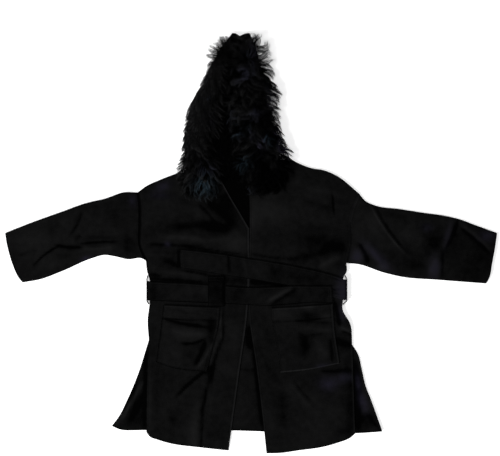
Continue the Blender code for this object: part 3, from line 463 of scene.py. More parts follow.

# Where the tips are painted silver: light shining through the tips along the crown, and the pale cores of some
# glints
SILVERS = table(Patch, (
    (-36, 594, 26, 13, 0.9), (20, 588, 24, 16, 0.2), (-88, 566, 26, 22, 0.12), (44, 540, 14, 30, 0.1),
    (64, 430, 14, 20, 0.7), (70, 356, 8, 18, 0.5), (0, 154, 10, 5, 0.3), (34, 158, 5, 4, 0.18),
    (-164, 132, 6, 5, 0.2), (-130, 176, 20, 26, 0.6), (-86, 236, 5, 22, 0.6),
))

# Stations of a belt end along the front. A row holds where the station crosses the belt's upper and lower
# edge, and how high the belt's underside lies there if it isn't straight on the front.
Station = namedtuple("Station", "x_upper y_upper x_lower y_lower under", defaults=(BELT_UNDER,))

CROSSING_UNDER = BELT_UNDER + BELT + LAYER_GAP
BELT_LONG = table(Station, (
    (-289, -108, -289, -163), (-240, -111, -240, -165), (-191, -113, -191, -167), (-123, -118, -123, -170),
    (-70, -121, -70, -172), (-14, -125, -14, -175), (24, -125, 24, -177),
    (54, -124, 54, -178, BELT_UNDER + 0.5 * BELT), (84, -123, 84, -176, CROSSING_UNDER),
    (117, -121, 117, -173, CROSSING_UNDER), (180, -121, 180, -168, CROSSING_UNDER),
    (228, -121, 232, -170, CROSSING_UNDER),
))

BELT_SHORT = table(Station, (
    (265, -103, 265, -162), (232, -90, 232, -154), (197, -80, 197, -144), (150, -70, 150, -132),
    (105, -61, 105, -121), (46, -51, 46, -110), (-14, -42, -14, -100), (-66, -33, -66, -92),
    (-117, -26, -117, -84), (-160, -21, -160, -76), (-202, -17, -201, -70),
))

# The two ends of the belt, by the side of the coat that they come round
Belt = namedtuple("Belt", "key stations")
BELT_ENDS = {"right": Belt("long", BELT_LONG), "left": Belt("short", BELT_SHORT)}
BELT_SPANS = 110
BELT_COLUMNS = 14
BELT_DIP = 0.3
# About how long a belt end is, by which the seam's distance from its end is set
BELT_REACH = 530.0
TURN_SPANS = 14
TURN_TUCK = 26.0

# The loop on the front: its edges, the length that is sewn down, its rise over the belt and its foot
FRONT_LOOP_X = (-122, -75)
FRONT_LOOP_Y = (-93, -180)
LOOP_COLUMNS = 12
LOOP_ROWS = 40
LOOP_ROWS_INSET = 3
LOOP_STITCHED = 13.0
LOOP_RISE = 8.0
LOOP_FOOT = 3.5

# The loops at the sides: where they are sewn on, how they bend, and the section of their band. A row of it
# holds a height and the share of its thickness that the band has there.
SIDE_LOOP_Y = (-92, -174)
SIDE_LOOP_BEND = 10.0
SIDE_LOOP_EASE = 0.35
SIDE_LOOP_FEET_CLEAR = 1.5
SIDE_LOOP_SPANS = 30
SIDE_LOOP_SECTION = ((0.2, 0.5), (0.7, 1.0), (6.0, 1.0), (11.3, 1.0), (12.0, 0.4))

# The skin under the fur: how finely it is made, how thick it is and how it sits on what is under it
LOBE_SPANS = 7
CROWN_SPANS = 24
SKIN_FINER = 2
SKIN_COLUMNS = 26
SKIN = 1.8
SKIN_THINNEST = 0.4
SKIN_ROUNDNESS = 2.2
SKIN_SEAT = 1.2
SKIN_LEAST = 2.0
COAT_END = 285.0
COAT_END_REACH = 45.0

# Where the skin draws in, in shares of the way from a lobe's end to the crown, and the tufts on it
CROWN_INSET_AT = (0.72, 0.16)
CROWN_TAIL = 22.0
CROWN_TAIL_AT = (0.93, 0.07)
LOBE_TAIL_REACH = 0.10
TUFT = 1.8
TUFTS_ALONG = 11
TUFTS_ACROSS = 2.4
TUFTS_FROM = 0.02

# The hood's back, how much of it the fur's sides hide, and the short pile that lines it
HOOD_BACK_TOP = 12.0
HOOD_BACK_DIP = 3.0
HOOD_BACK_AT = (0.06, 0.28)
HOOD_BACK_HIDDEN = (0.41, 0.7, 1.0)
HOOD_BACK_COLUMNS = 36
END_ROWS = (0.05, 0.2)
LINING_EDGE = 0.06
LINING_COMB = (0.05, -1.0, 0.0)
LINING_SHINE = 0.25
LINING_STRANDS = 0.6
# The lining's pile takes the darkest tone, painted shade for the inside of the hood between the fur's sides
LINING_GROWTH = {
    "pile": 0.022, "lift": 0.30, "curl": 0.7, "teal": 0.0, "silver": 0.0, "smooth": 0.0, "tone": -1.0,
}

# How the fur is combed: it parts at a share of each section, turns up at the crown, falls at the lobe and
# wanders a little in waves
COMB_PARTING = 0.55
COMB_PARTING_REACH = 0.45
COMB_OUT = 0.9
COMB_OUT_LESS = 0.60
COMB_CROWN_AT = (0.74, 0.22)
COMB_CROWN_TURN = 2.1
COMB_LOBE_REACH = 0.22
COMB_LOBE_DOWN = 0.35
WANDER = 0.35
WANDER_WAVES = (0.031, 0.047)

# How the pile changes along a side: shorter at both ends, curlier at the lobe, and short, flat and pale where
# it is smooth
CROWN_PILE_LESS = 0.45
CROWN_PILE_AT = (0.86, 0.14)
TAIL_PILE = 0.6
TAIL_PILE_REACH = 0.08
LOBE_CURL = 1.1
LOBE_CURL_REACH = 0.24
SMOOTH_TRAVEL = (0.30, 0.88)
SMOOTH_TRAVEL_REACH = 0.08
SMOOTH_SHARE = 0.84
SMOOTH_SHARE_REACH = 0.12
SMOOTH_PILE = 0.42
SMOOTH_LIFT_LESS = 0.6
SMOOTH_CURL_LESS = 0.8
SMOOTH_TONE = 0.42
STRAND_CLEAR = 0.6
SEEN_ALONG = 0.6

# The strands: the heights of the plan between which each piece of fur grows, what the tree is given, what a
# strand learns from its lock, and how far it sways with its lock and alone
FUR_BANDS = (("lobe", 0.0, 290.0), ("side", 290.0, 430.0), ("crown", 430.0, 700.0))
FUR_INPUTS = {name: "NodeSocketFloat" for name in ("Strands", "Locks", "Width", "Gathering")}
FUR_INPUTS["Seed"] = "NodeSocketInt"
LOCK_MARKS = {"root": VECTOR, "comb": VECTOR, "normal": VECTOR, "pile": "FLOAT", "chance": "FLOAT"}
LOCK_SEED = 31.0
LOCK_SWING = 0.28
LOCK_BOUNCE = 0.07
STRAY_SWING = 0.05
# Waves along a strand's length, and how many of them chance shifts it by
LOCK_WAVES = (0.85, 3.0)
BOUNCE_WAVES = (0.9, 4.0)
STRAY_WAVES = (0.6, 5.0)
# The least share of its length, draw or width that a strand or a lock has, and what chance adds to it
STRAND_LENGTH = (0.70, 0.42)
LOCK_LENGTH = (0.80, 0.45)
STRAND_DRAWN = (0.55, 0.45)
STRAND_WIDTH = (0.7, 0.6)
# The strand tapers as a power of what is left of it, and keeps a little width at its tip
TAPER_END = 1.02
TAPER_POWER = 0.55
# How a strand bends down again and hangs, and how many points and sides it has
STRAND_ARCH = 0.62
STRAND_DROOP = 0.16
STRAND_POINTS = 6
STRAND_SIDES = 3
# What a strand's points carry while it grows, which is taken off again afterwards
STRAY_MARKS = (
    "root", "normal", "comb", "pile", "lift", "curl", "ground", "furred",
    "lock_root", "lock_comb", "lock_normal", "lock_pile", CLOTH_MAP,
)

# The stitches: their form, and how far in from the edges the seams run
STITCH_INPUTS = {name: "NodeSocketFloat" for name in ("Pitch", "Length", "Thread")}
STITCH_POINTS = 5
STITCH_SIDES = 6
STITCH_SINK = 0.35
STITCH_CLEAR = 0.1
POCKET_STITCH_INSET = 6.0
POCKET_SEAM_POINTS = 30
POCKET_SEAM_START = 0.01
POCKET_HEM_SEAM = 1.5
BELT_STITCH_INSET = 4.5
BELT_SEAM_POINTS = 12
LOOP_STITCH_INSET = 3.5
LOOP_SEAM_FOOT = 1.0

# Sizes in metres of the unevenness of the wool and the skin, how it is stretched across its grain, and how
# far in from an edge painted shade darkens the wool and its seam is sewn
CLOUD_SIZE = 0.085
MOTTLE_SIZE = 0.018
FLECK_SIZE = 0.0022
FIBRE_SIZE = 0.0035
FIBRE_STRETCH = (1.0, 5.0, 1.0)
STREAK_SIZE = 0.006
STREAK_STRETCH = (4.0, 1.0, 1.0)
RIM_SHADE_REACH = 0.0035
SEWN_INSET = 0.0062
SEWN_WIDTH = 0.0016
TWISTS_A_METRE = 900.0

# The wool's tone between its two colours: at rest, and what its painted light and shade, the painted shade at
# its rim and each unevenness add
WOOL_TONE, PAINTED_SHADING_TONE, RIM_TONE = 0.28, 0.62, -0.26
CLOUD_TONE, MOTTLE_TONE, FLECK_TONE = 0.34, 0.36, 0.45

# How high each unevenness and the sewn line stand in the wool's bumps
CLOUD_BUMP, MOTTLE_BUMP, FLECK_BUMP, FIBRE_BUMP, SEWN_BUMP = 2.6, 1.1, 0.45, 0.5, -0.7

# The fur's tone between root and tip: at rest, and what a strand's and a lock's chance and its patch of
# painted light and shade add
FUR_TONE, STRAND_TONE, LOCK_TONE, PATCH_TONE = 0.14, 0.6, 1.1, 1.2
# How much of that unevenness is gone where the pile is smooth
SMOOTH_EVEN = 0.75
HAIR_SHINE = (0.92, 0.93, 1.0)

# The stage: the camera's sensor and the point that it looks down on, the floor, and the lamps with their
# places and sizes, in metres
SENSOR_WIDTH = 36.0
CAMERA_OVER = (-0.003, 0.043)
FLOOR_REACH = 20.0
FLOOR_SINK = 0.0002
FLOOR_GREYS = (0.93, 0.95)
WHITE = (1.0, 1.0, 1.0)
FLOOR_GLOW = 0.25
LAMPS = (("key", (-5.6, -4.2, 4.0), 3.0), ("fill", (0.6, 1.0, 6.0), 4.0))


def length(name, description, default, **limits):
    """A setting that holds a length in metres."""
    return FloatProperty(name=name, description=description, default=default, unit="LENGTH", **limits)


def colour(name, description, default):
    """A setting that holds a colour."""
    return FloatVectorProperty(
        name=name, description=description, default=default, subtype="COLOR", min=0.0, max=1.0
    )


def count(name, description, default):
    """A setting that holds a whole number."""
    return IntProperty(name=name, description=description, default=default)


class CoatCloth(bpy.types.PropertyGroup):
    """Thicknesses of the woollen pieces, and their stitches."""

    wall: length("Wool Thickness", "Thickness of the felted wool", CLOTH * MM, min=0.001, max=0.004)
    belt_wall: length("Belt Thickness", "Thickness of the doubled belt", BELT * MM, min=0.001, max=0.004)
    stitch_length: length("Stitch Length", "Length of one stitch of the pocket, belt and loop seams", 0.0030)
    stitch_pitch: length("Stitch Pitch", "Distance from one stitch to the next", 0.0042)
    thread: length("Thread Width", "Width of the sewing thread", 0.0007)


class CoatFur(bpy.types.PropertyGroup):
    """Growth of the fur."""

    strands: count("Strands per Square Metre", "How many strands grow on a square metre of skin", 210000)
    locks: count("Locks per Square Metre", "How many locks a square metre's strands gather into", 12000)
    width: length("Strand Width", "Width of a strand at its root", 0.0009)
    gather: FloatProperty(
        name="Gathering", description="How far the strands draw together at a lock's tip",
        default=0.68, subtype="FACTOR", min=0.0, max=1.0,
    )
    seed: count("Seed", "Seed of the fur's random growth", 7)


class CoatColours(bpy.types.PropertyGroup):
    """Colours of the wool, the fur and the thread."""

    # The wool is mixed from its deep to its light colour by painted shade in its creases, painted light on its
    # ridges and its uneven tone
    wool_deep: colour("Wool in the Creases", "Colour of the nap in the dark", (0.0002, 0.0002, 0.0002))
    wool_light: colour("Wool on the Ridges", "Colour of the nap in the light", (0.0090, 0.0090, 0.0091))
    # The pale felled edge stands partly for the rim's own colour and partly for a painted highlight along it
    wool_edge: colour("Felled Edge", "Colour of the pale rim of a felled edge", (0.016, 0.016, 0.0165))
    violet: colour("Cold Sheen", "Colour of the nap where it shines", (0.0072, 0.0066, 0.0112))
    fur_root: colour("Fur Root", "Colour of the fur at the skin", (0.0001, 0.0001, 0.0001))
    fur_tip: colour("Fur Tip", "Colour of the fur at its tips", (0.0112, 0.0112, 0.0115))
    # The silver tips are painted light shining through the tips at the crown and in the cores of some glints
    fur_silver: colour("Silver Tip", "Colour of the tips along the crown", (0.046, 0.046, 0.044))
    glint_violet: colour("Violet Glint", "Colour of a cool glint in the fur", (0.031, 0.029, 0.046))
    glint_teal: colour("Teal Glint", "Colour of a blue green glint in the fur", (0.025, 0.050, 0.066))
    thread: colour("Thread", "Colour of the sewing thread", (0.0022, 0.0022, 0.0024))


class CoatStage(bpy.types.PropertyGroup):
    """Camera and light."""

    view_width: length("View Width", "Width of floor that the camera sees", 1.425)
    view_height: length("Camera Height", "Height of the camera above the floor", 3.5)
    key_power: FloatProperty(
        name="Key Light", description="Power of the low key light", default=1000.0, unit="POWER"
    )
    fill_power: FloatProperty(
        name="Fill Light", description="Power of the high fill light", default=170.0, unit="POWER"
    )
    sky: FloatProperty(name="Sky", description="Strength of the even light from all around", default=0.28)


class Wire:
    """A node's output, which adds Math nodes when it is used in an expression."""

    def __init__(self, graph, socket):
        self.graph = graph
        self.socket = socket

    def also(self, name):
        """Another output of the same node."""
        return Wire(self.graph, self.socket.node.outputs[name])

    def __add__(self, other):
        return self.graph.combine("ADD", self, other)

    def __radd__(self, other):
        return self.graph.combine("ADD", other, self)

    def __sub__(self, other):
        return self.graph.combine("SUBTRACT", self, other)

    def __rsub__(self, other):
        return self.graph.combine("SUBTRACT", other, self)

    def __mul__(self, other):
        return self.graph.combine("MULTIPLY", self, other)

    def __rmul__(self, other):
        return self.graph.combine("MULTIPLY", other, self)

    def __pow__(self, other):
        return self.graph.combine("POWER", self, other)


class Graph:
    """A node tree that is written as Python expressions."""

    def __init__(self, tree):
        self.tree = tree

    def node(self, kind, settings=None, inputs=None, output=0):
        """Adds a node, sets its settings and then its sockets, and gives the named output."""
        node = self.tree.nodes.new(kind)
        for name, value in (settings or {}).items():
            setattr(node, name, value)
        for key, value in (inputs or {}).items():
            self.feed(self.pick(node.inputs, key), value)
        return Wire(self, self.pick(node.outputs, output))

    @staticmethod
    def pick(sockets, key):
        if isinstance(key, int):
            return sockets[key]
        return next(socket for socket in sockets if socket.name == key and socket.enabled)

    def feed(self, socket, value):
        if isinstance(value, Wire):
            self.tree.links.new(value.socket, socket)
        else:
            socket.default_value = value

    def combine(self, operation, first, second):
        """Math on two numbers, or Vector Math where a side is a vector, which a number scales."""
        if not (self.is_vector(first) or self.is_vector(second)):
            return self.math(operation, first, second)
        if operation == "MULTIPLY":
            vector, share = (first, second) if self.is_vector(first) else (second, first)
            return self.vector_math("SCALE", {0: vector, "Scale": share})
        return self.vector_math(operation, {0: first, 1: second})

    @staticmethod
    def is_vector(side):
        return isinstance(side, Wire) and side.socket.type == "VECTOR"

    def math(self, operation, *values):
        return self.node("ShaderNodeMath", {"operation": operation}, dict(enumerate(values)))

    def vector_math(self, operation, inputs):
        return self.node("ShaderNodeVectorMath", {"operation": operation}, inputs)

    def vector(self, **parts):
        return self.node("ShaderNodeCombineXYZ", {}, parts)

    def clamp(self, value):
        return self.node("ShaderNodeClamp", {}, {"Value": value})

    def smooth(self, value, low, high):
        """0 below low, 1 above high and a soft step between them."""
        settings = {"interpolation_type": "SMOOTHSTEP"}
        return self.node("ShaderNodeMapRange", settings, {"Value": value, "From Min": low, "From Max": high})

    def mix(self, kind, factor, first, second):
        inputs = {"Factor": factor, "A": first, "B": second}
        return self.node("ShaderNodeMix", {"data_type": kind}, inputs, "Result")

    def mix_colour(self, factor, first, second):
        """A mix of two colours, each a wire or its red, green and blue."""
        return self.mix("RGBA", factor, opaque(first), opaque(second))

    def noise(self, place, size, detail=3.0, roughness=0.5):
        """Noise with features of about the given size in metres."""
        inputs = {"Vector": place, "Scale": 1.0 / size, "Detail": detail, "Roughness": roughness}
        return self.node("ShaderNodeTexNoise", {}, inputs, "Fac")

    def stretched(self, place, scale):
        return self.node("ShaderNodeMapping", {}, {"Vector": place, "Scale": scale}, "Vector")

    def object_place(self):
        return self.node("ShaderNodeTexCoord", {}, {}, "Object")

    def attribute(self, name):
        return self.node("ShaderNodeAttribute", {"attribute_name": name}, {}, "Fac")


def opaque(colour):
    """A colour with full alpha, or the wire that carries one."""
    return colour if isinstance(colour, Wire) else (*colour, 1.0)


def new_material(name, roughness, specular, sheen=0.0, sheen_tint=(1.0, 1.0, 1.0)):
    """A material, its graph and its shader, with what is the same all over the surface set on the shader."""
    material = bpy.data.materials.new(name)
    material.use_nodes = True
    shader = material.node_tree.nodes["Principled BSDF"]
    shader.inputs["Roughness"].default_value = roughness
    shader.inputs["Specular IOR Level"].default_value = specular
    shader.inputs["Sheen Weight"].default_value = sheen
    shader.inputs["Sheen Roughness"].default_value = 0.5
    shader.inputs["Sheen Tint"].default_value = opaque(sheen_tint)
    return material, Graph(material.node_tree), shader


def cover(graph, shader, base, height=None, strength=0.9, distance=MM):
    """Feeds a shader its colour, and its bumps if it has any."""
    graph.feed(shader.inputs["Base Color"], base)
    if height:
        inputs = {"Strength": strength, "Distance": distance, "Height": height}
        graph.feed(shader.inputs["Normal"], graph.node("ShaderNodeBump", {}, inputs, "Normal"))


def wool_material(name, colours, tone_shift=0.0, relief=1.0):
    """Felted wool: clouded tone, flecks and fibres, painted light on its ridges and painted shade in its
    creases and at its edges, and pale felled edges that are partly painted highlights.
    """
    found = bpy.data.materials.get(name)
    if found:
        return found
    material, graph, shader = new_material(name, 0.90, 0.008, sheen=0.002, sheen_tint=(0.75, 0.78, 1.0))
    cloth = graph.node("ShaderNodeUVMap", {"uv_map": CLOTH_MAP}, {}, "UV")
    rim = graph.attribute("rim")
    cloud = graph.noise(cloth, CLOUD_SIZE) - 0.5
    mottle = graph.noise(cloth, MOTTLE_SIZE) - 0.5
    fleck = graph.noise(cloth, FLECK_SIZE, detail=2.0) - 0.5
    fibre = graph.noise(graph.stretched(cloth, FIBRE_STRETCH), FIBRE_SIZE, roughness=0.6) - 0.5
    # The painted light and shade: light on ridges and lit patches, shade in creases, beside seams and under
    # the hood
    nap = WOOL_TONE + tone_shift + PAINTED_SHADING_TONE * graph.attribute("nap")
    # Painted shade along every edge, where one layer of cloth steps down onto the next
    extra_painted_shading = graph.smooth(rim, RIM_SHADE_REACH, 0.0) * RIM_TONE
    tone = graph.clamp(nap + CLOUD_TONE * cloud + MOTTLE_TONE * mottle + FLECK_TONE * fleck + extra_painted_shading)
    base = graph.mix_colour(tone, colours.wool_deep, colours.wool_light)
    # Pale lines along some felled edges, partly the rim's own colour and partly a painted highlight
    pale = graph.clamp(graph.attribute("pale") * (0.85 + 0.6 * mottle))
    base = graph.mix_colour(pale, base, colours.wool_edge)
    # A painted cold violet sheen where the cloth faces the light
    violet = graph.clamp(graph.attribute("violet") * (0.75 + 1.2 * mottle))
    base = graph.mix_colour(violet, base, colours.violet)
    sewn = graph.smooth(graph.math("ABSOLUTE", rim - SEWN_INSET), SEWN_WIDTH, 0.0) * SEWN_BUMP
    height = FIBRE_BUMP * fibre + FLECK_BUMP * fleck + MOTTLE_BUMP * mottle + CLOUD_BUMP * cloud
    cover(graph, shader, base, relief * height + sewn)
    return material


def fur_material(name, colours):
    """Glossy black hair with paler tips, silver tips painted where light shines through them at the crown, and
    cold glints.
    """
    material, graph, shader = new_material(name, 0.40, 0.012)
    shader.inputs["Specular Tint"].default_value = opaque(HAIR_SHINE)
    along = graph.attribute("along")
    chance = graph.attribute("chance")
    lock = graph.attribute("lock_chance")
    uneven = STRAND_TONE * (chance - 0.5) + LOCK_TONE * (lock - 0.5)
    uneven = uneven * (1.0 - SMOOTH_EVEN * graph.attribute("smooth"))
    tone = FUR_TONE + uneven + PATCH_TONE * graph.attribute("tone")
    tone = graph.clamp(graph.smooth(along, 0.0, 0.8) * tone)
    base = graph.mix_colour(tone, colours.fur_root, colours.fur_tip)
    glint = graph.mix_colour(graph.attribute("teal"), colours.glint_violet, colours.glint_teal)
    lit = graph.attribute("shine") * graph.smooth(chance, 0.50, 0.80) * graph.smooth(lock, 0.15, 0.75)
    base = graph.mix_colour(graph.clamp(lit), base, glint)
    # Painted silver tips: light shining through the tips at the crown, and the pale cores of some glints
    tip = graph.attribute("silver") * graph.smooth(along, 0.55, 0.95) * graph.smooth(chance, 0.30, 0.85)
    cover(graph, shader, graph.mix_colour(graph.clamp(tip), base, colours.fur_silver))
    return material


def skin_material(name, colours):
    """The dark skin and underfur that the strands grow from."""
    material, graph, shader = new_material(name, 0.9, 0.01)
    place = graph.stretched(graph.object_place(), STREAK_STRETCH)
    streak = graph.noise(place, STREAK_SIZE, roughness=0.6)
    tone = (0.25 + 0.45 * graph.attribute("smooth")) * graph.smooth(streak, 0.30, 0.75)
    cover(graph, shader, graph.mix_colour(tone, colours.fur_root, colours.fur_tip), streak * 1.5)
    return material


def thread_material(name, colours):
    """Twisted sewing thread."""
    material, graph, shader = new_material(name, 0.60, 0.08)
    settings = {"wave_type": "BANDS", "bands_direction": "DIAGONAL"}
    inputs = {"Vector": graph.object_place(), "Scale": TWISTS_A_METRE, "Distortion": 0.4}
    twist = graph.node("ShaderNodeTexWave", settings, inputs, "Fac")
    base = graph.mix_colour(twist, [0.5 * part for part in colours.thread], colours.thread)
    cover(graph, shader, base, twist, strength=0.6, distance=0.0001)
    return material


def floor_material():
    """A plain pale floor with the faintest unevenness."""
    material, graph, shader = new_material("pale_floor", 0.95, 0.0)
    cloud = graph.noise(graph.object_place(), 0.8, detail=2.0)
    cover(graph, shader, graph.mix_colour(cloud, *((grey, grey, grey) for grey in FLOOR_GREYS)))
    shader.inputs["Emission Color"].default_value = opaque(WHITE)
    shader.inputs["Emission Strength"].default_value = FLOOR_GLOW
    return material


def ease(value):
    """0 below 0, 1 above 1 and a soft step between them."""
    value = np.clip(value, 0.0, 1.0)
    return value * value * (3.0 - 2.0 * value)


def onset(value, start, reach):
    """0 up to the start, 1 from a reach further on and a soft step between them."""
    return ease((value - start) / reach)


def bell(share):
    """1 at 0, falling softly on both sides of it."""
    return np.exp(-(share**2))


def quarter(share):
    """The height of a quarter circle: 0 at 0, and 1 from 1 on."""
    return np.sqrt(1.0 - (1.0 - np.clip(share, 0.0, 1.0)) ** 2)


def steps_of(points):
    return np.linalg.norm(np.diff(points, axis=0), axis=1)


def travelled(points):
    """How far along a line each of its points lies."""
    return np.concatenate([[0.0], np.cumsum(steps_of(points))])


def sample(wanted, at, points):
    """Points read off at the wanted places of a line whose own points lie at known places."""
    return np.stack([np.interp(wanted, at, column) for column in points.T], axis=1)


def through(points, spans, steps_each=24):
    """Points at even distances along the smooth curve through the given points, ends included."""
    points = np.array(points, float)
    steps, at = steps_of(points), travelled(points)
    slopes = np.gradient(points, at, axis=0)
    fine = np.linspace(0.0, at[-1], steps_each * spans + 1)
    left = np.clip(np.searchsorted(at, fine, side="right") - 1, 0, len(steps) - 1)
    run = steps[left][:, None]
    t = ((fine - at[left]) / steps[left])[:, None]
    curve = (
        (1 + 2 * t) * (1 - t) ** 2 * points[left]
        + t * (1 - t) ** 2 * run * slopes[left]
        + t**2 * (3 - 2 * t) * points[left + 1]
        + t**2 * (t - 1) * run * slopes[left + 1]
    )
    at = travelled(curve)
    return sample(np.linspace(0.0, at[-1], spans + 1), at, curve)


def line_of(name, finer=1, steps_each=24):
    """Points along a named line, so many to each of its spans."""
    return through(LINES[name].points, LINES[name].spans * finer, steps_each)


def places(names, finer):
    """Places along the named lines, counted in spans: even ones, and some close to both ends."""
    spans = sum(LINES[name].spans for name in names)
    rim = np.array(RIM_PLACES)
    return np.concatenate([rim, np.arange(1, spans * finer) / finer, spans - rim[::-1]])


def edge(names, at):
    """Points at the given places along the named lines joined end to end."""
    curves = [line_of(name, DENSE, 4) for name in names]
    dense = np.concatenate([curves[0]] + [curve[1:] for curve in curves[1:]])
    return sample(at, np.arange(len(dense)) / DENSE, dense)


def patch(first, last, near, far, finer):
    """A grid of plan points between a first and a last row and the edges that join their ends, each given
    as the names of its lines."""
    across, along = places(first, finer), places(near, finer)
    first, last = edge(first, across), edge(last, across)
    near, far = edge(near, along), edge(far, along)
    u = (across / across[-1])[None, :, None]
    v = (along / along[-1])[:, None, None]
    rows = (1 - v) * first[None] + v * last[None]
    columns = (1 - u) * near[:, None] + u * far[:, None]
    corners = (1 - v) * ((1 - u) * first[0] + u * first[-1]) + v * ((1 - u) * last[0] + u * last[-1])
    return rows + columns - corners


def outline_of(plan):
    return np.concatenate([plan[0], plan[1:, -1], plan[-1, -2::-1], plan[-2:0:-1, 0]])


def distance_to(plan, outline, closed=True):
    """How far each plan point lies from an outline, or from an open line."""
    nearest = np.full(plan.shape[:-1], np.inf)
    pairs = list(zip(outline, np.roll(outline, -1, axis=0)))
    for a, b in pairs if closed else pairs[:-1]:
        run = b - a
        if not run.any():
            continue
        t = np.clip(((plan - a) @ run) / (run @ run), 0.0, 1.0)
        nearest = np.minimum(nearest, np.linalg.norm(plan - a - t[..., None] * run, axis=-1))
    return nearest


def from_line(plan, name, finer=1):
    """How far each plan point lies from a named line."""
    return distance_to(plan, line_of(name, finer), closed=False)


def from_rim(plan):
    """How far each point of a grid lies from the grid's outline."""
    return distance_to(plan, outline_of(plan)[::2])


def inside(plan, outline):
    """Whether each plan point lies inside a closed outline."""
    found = np.zeros(plan.shape[:-1], bool)
    x, y = plan[..., 0], plan[..., 1]
    for (ax, ay), (bx, by) in zip(outline, np.roll(outline, -1, axis=0)):
        spans_y = (ay > y) != (by > y)
        with np.errstate(divide="ignore", invalid="ignore"):
            crossing = ax + (y - ay) * (bx - ax) / (by - ay)
        found ^= spans_y & (x < crossing)
    return found


def creased(plan, creases):
    """The creases' height and the light and shade painted along them at each plan point."""
    height = np.zeros(plan.shape[:-1])
    nap = np.zeros(plan.shape[:-1])
    for crease in creases:
        start = np.array((crease.x0, crease.y0))
        run = np.array((crease.x1, crease.y1)) - start
        reach = np.hypot(*run)
        along = ((plan - start) @ run) / reach**2
        bowed = crease.bow * 4 * along * (1 - along)
        across = ((plan - start) @ np.array((-run[1], run[0]))) / reach - bowed
        fade = ease((FOLD_END - np.abs(along - 0.5)) / FOLD_FADE)
        height += crease.rise * fade * bell(across / crease.width)
        core = bell(across / (CORE_WIDTH * crease.width))
        halo = bell(across / (HALO_WIDTH * crease.width))
        nap += crease.nap * fade * (CORE_SHARE * core + (1.0 - CORE_SHARE) * halo)
    return height, nap


def spread(plan, row):
    """How strongly a patch of the tables covers each plan point."""
    turn = math.radians(row.turn)
    x, y = plan[..., 0] - row.x, plan[..., 1] - row.y
    along = (x * math.cos(turn) + y * math.sin(turn)) / row.long
    across = (y * math.cos(turn) - x * math.sin(turn)) / row.wide
    return np.exp(-(along**2 + across**2))


def covered(plan, rows, column="amount"):
    """A column of a table of patches, added up by how strongly each patch covers a plan point."""
    return sum(spread(plan, row) * getattr(row, column) for row in rows)


def marks_of(plan, piece, names, nap, rim):
    """The values that the wool's material reads at each point of a piece, whose edges have these names."""
    # The painted light and shade of the patches and the painted shade beside some edges; the pale edge lines
    # are partly painted highlights, and the violet tint a painted sheen
    extra_painted_shading = covered(plan, PAINTED_SHADING_PATCHES[piece])
    for name, amount, width in PAINTED_SHADE_EDGES:
        if name in names:
            extra_painted_shading = extra_painted_shading - amount * bell(from_line(plan, name, 2) / width)
    pale = np.zeros(plan.shape[:-1])
    for name, amount in PALE_EDGES:
        if name in names:
            pale = np.maximum(pale, amount * bell(from_line(plan, name, 2) / PALE_WIDTH))
    violet = covered(plan, PAINTED_SHADING_PATCHES[piece], "tint")
    return {"nap": nap + extra_painted_shading, "violet": violet, "rim": rim * MM, "pale": pale}


def add_mark(mesh, name, values):
    """Keeps a number or a vector for each point of a mesh."""
    kind, field = (VECTOR, "vector") if values.ndim == 2 else ("FLOAT", "value")
    layer = mesh.attributes.new(name, kind, "POINT")
    layer.data.foreach_set(field, values.astype(np.float32).ravel())


def mesh_object(name, points, faces, material, marks):
    """An object from points in millimetres, with its marks and its map of the cloth seen from above."""
    mesh = bpy.data.meshes.new(name)
    mesh.from_pydata((points * MM).tolist(), [], faces.tolist())
    shape = bmesh.new()
    shape.from_mesh(mesh)
    bmesh.ops.recalc_face_normals(shape, faces=shape.faces)
    shape.to_mesh(mesh)
    shape.free()
    mesh.shade_smooth()
    for key, values in marks.items():
        add_mark(mesh, key, values)
    corners = np.empty(len(mesh.loops), np.int32)
    mesh.loops.foreach_get("vertex_index", corners)
    mapping = mesh.uv_layers.new(name=CLOTH_MAP)
    mapping.data.foreach_set("uv", (points[corners, :2] * MM).astype(np.float32).ravel())
    mesh.materials.append(material)
    obj = bpy.data.objects.new(name, mesh)
    bpy.context.scene.collection.objects.link(obj)
    return obj


def faces_of(index):
    """The faces of a grid of vertex numbers."""
    return np.stack([index[:-1, :-1], index[:-1, 1:], index[1:, 1:], index[1:, :-1]], -1).reshape(-1, 4)


def slab(name, lower, upper, material, marks):
    """A closed wall between two grids of points, whose marks hold one value for each place of the grid."""
    rows, columns = lower.shape[:2]
    count = rows * columns
    index = np.arange(count).reshape(rows, columns)
    border = outline_of(index[..., None])[:, 0]
    following = np.roll(border, -1)
    walls = np.stack([border, following, following + count, border + count], -1)
    faces = np.concatenate([faces_of(index), faces_of(index + count), walls])
    points = np.concatenate([lower.reshape(-1, 3), upper.reshape(-1, 3)])
    doubled = {key: np.concatenate([values.ravel()] * 2) for key, values in marks.items()}
    return mesh_object(name, points, faces, material, doubled)


def loft(name, loops, material, marks, ring=False):
    """One closed solid through the sections, which a ring joins up and which otherwise ends in two caps."""
    rows, count = loops.shape[:2]
    index = np.arange(rows * count).reshape(rows, count)
    if ring:
        index = np.concatenate([index, index[:1]])
    faces = [faces_of(np.concatenate([index, index[:, :1]], axis=1))]
    if not ring:
        half = np.arange(count // 2 - 1)
        for start in (0, (rows - 1) * count):
            faces.append(start + np.stack([half, half + 1, count - 2 - half, count - 1 - half], -1))
    flat = {key: values.reshape(-1) for key, values in marks.items()}
    return mesh_object(name, loops.reshape(-1, 3), np.concatenate(faces), material, flat)


def rounded(plan, under, over, rim):
    """The lower and upper grids of a wall whose edges are rounded off."""
    half = 0.5 * (over - under) * np.maximum(quarter(rim / EDGE_ROUND), EDGE_LEAST)
    middle = 0.5 * (over + under)
    return np.dstack([plan, middle - half]), np.dstack([plan, middle + half])


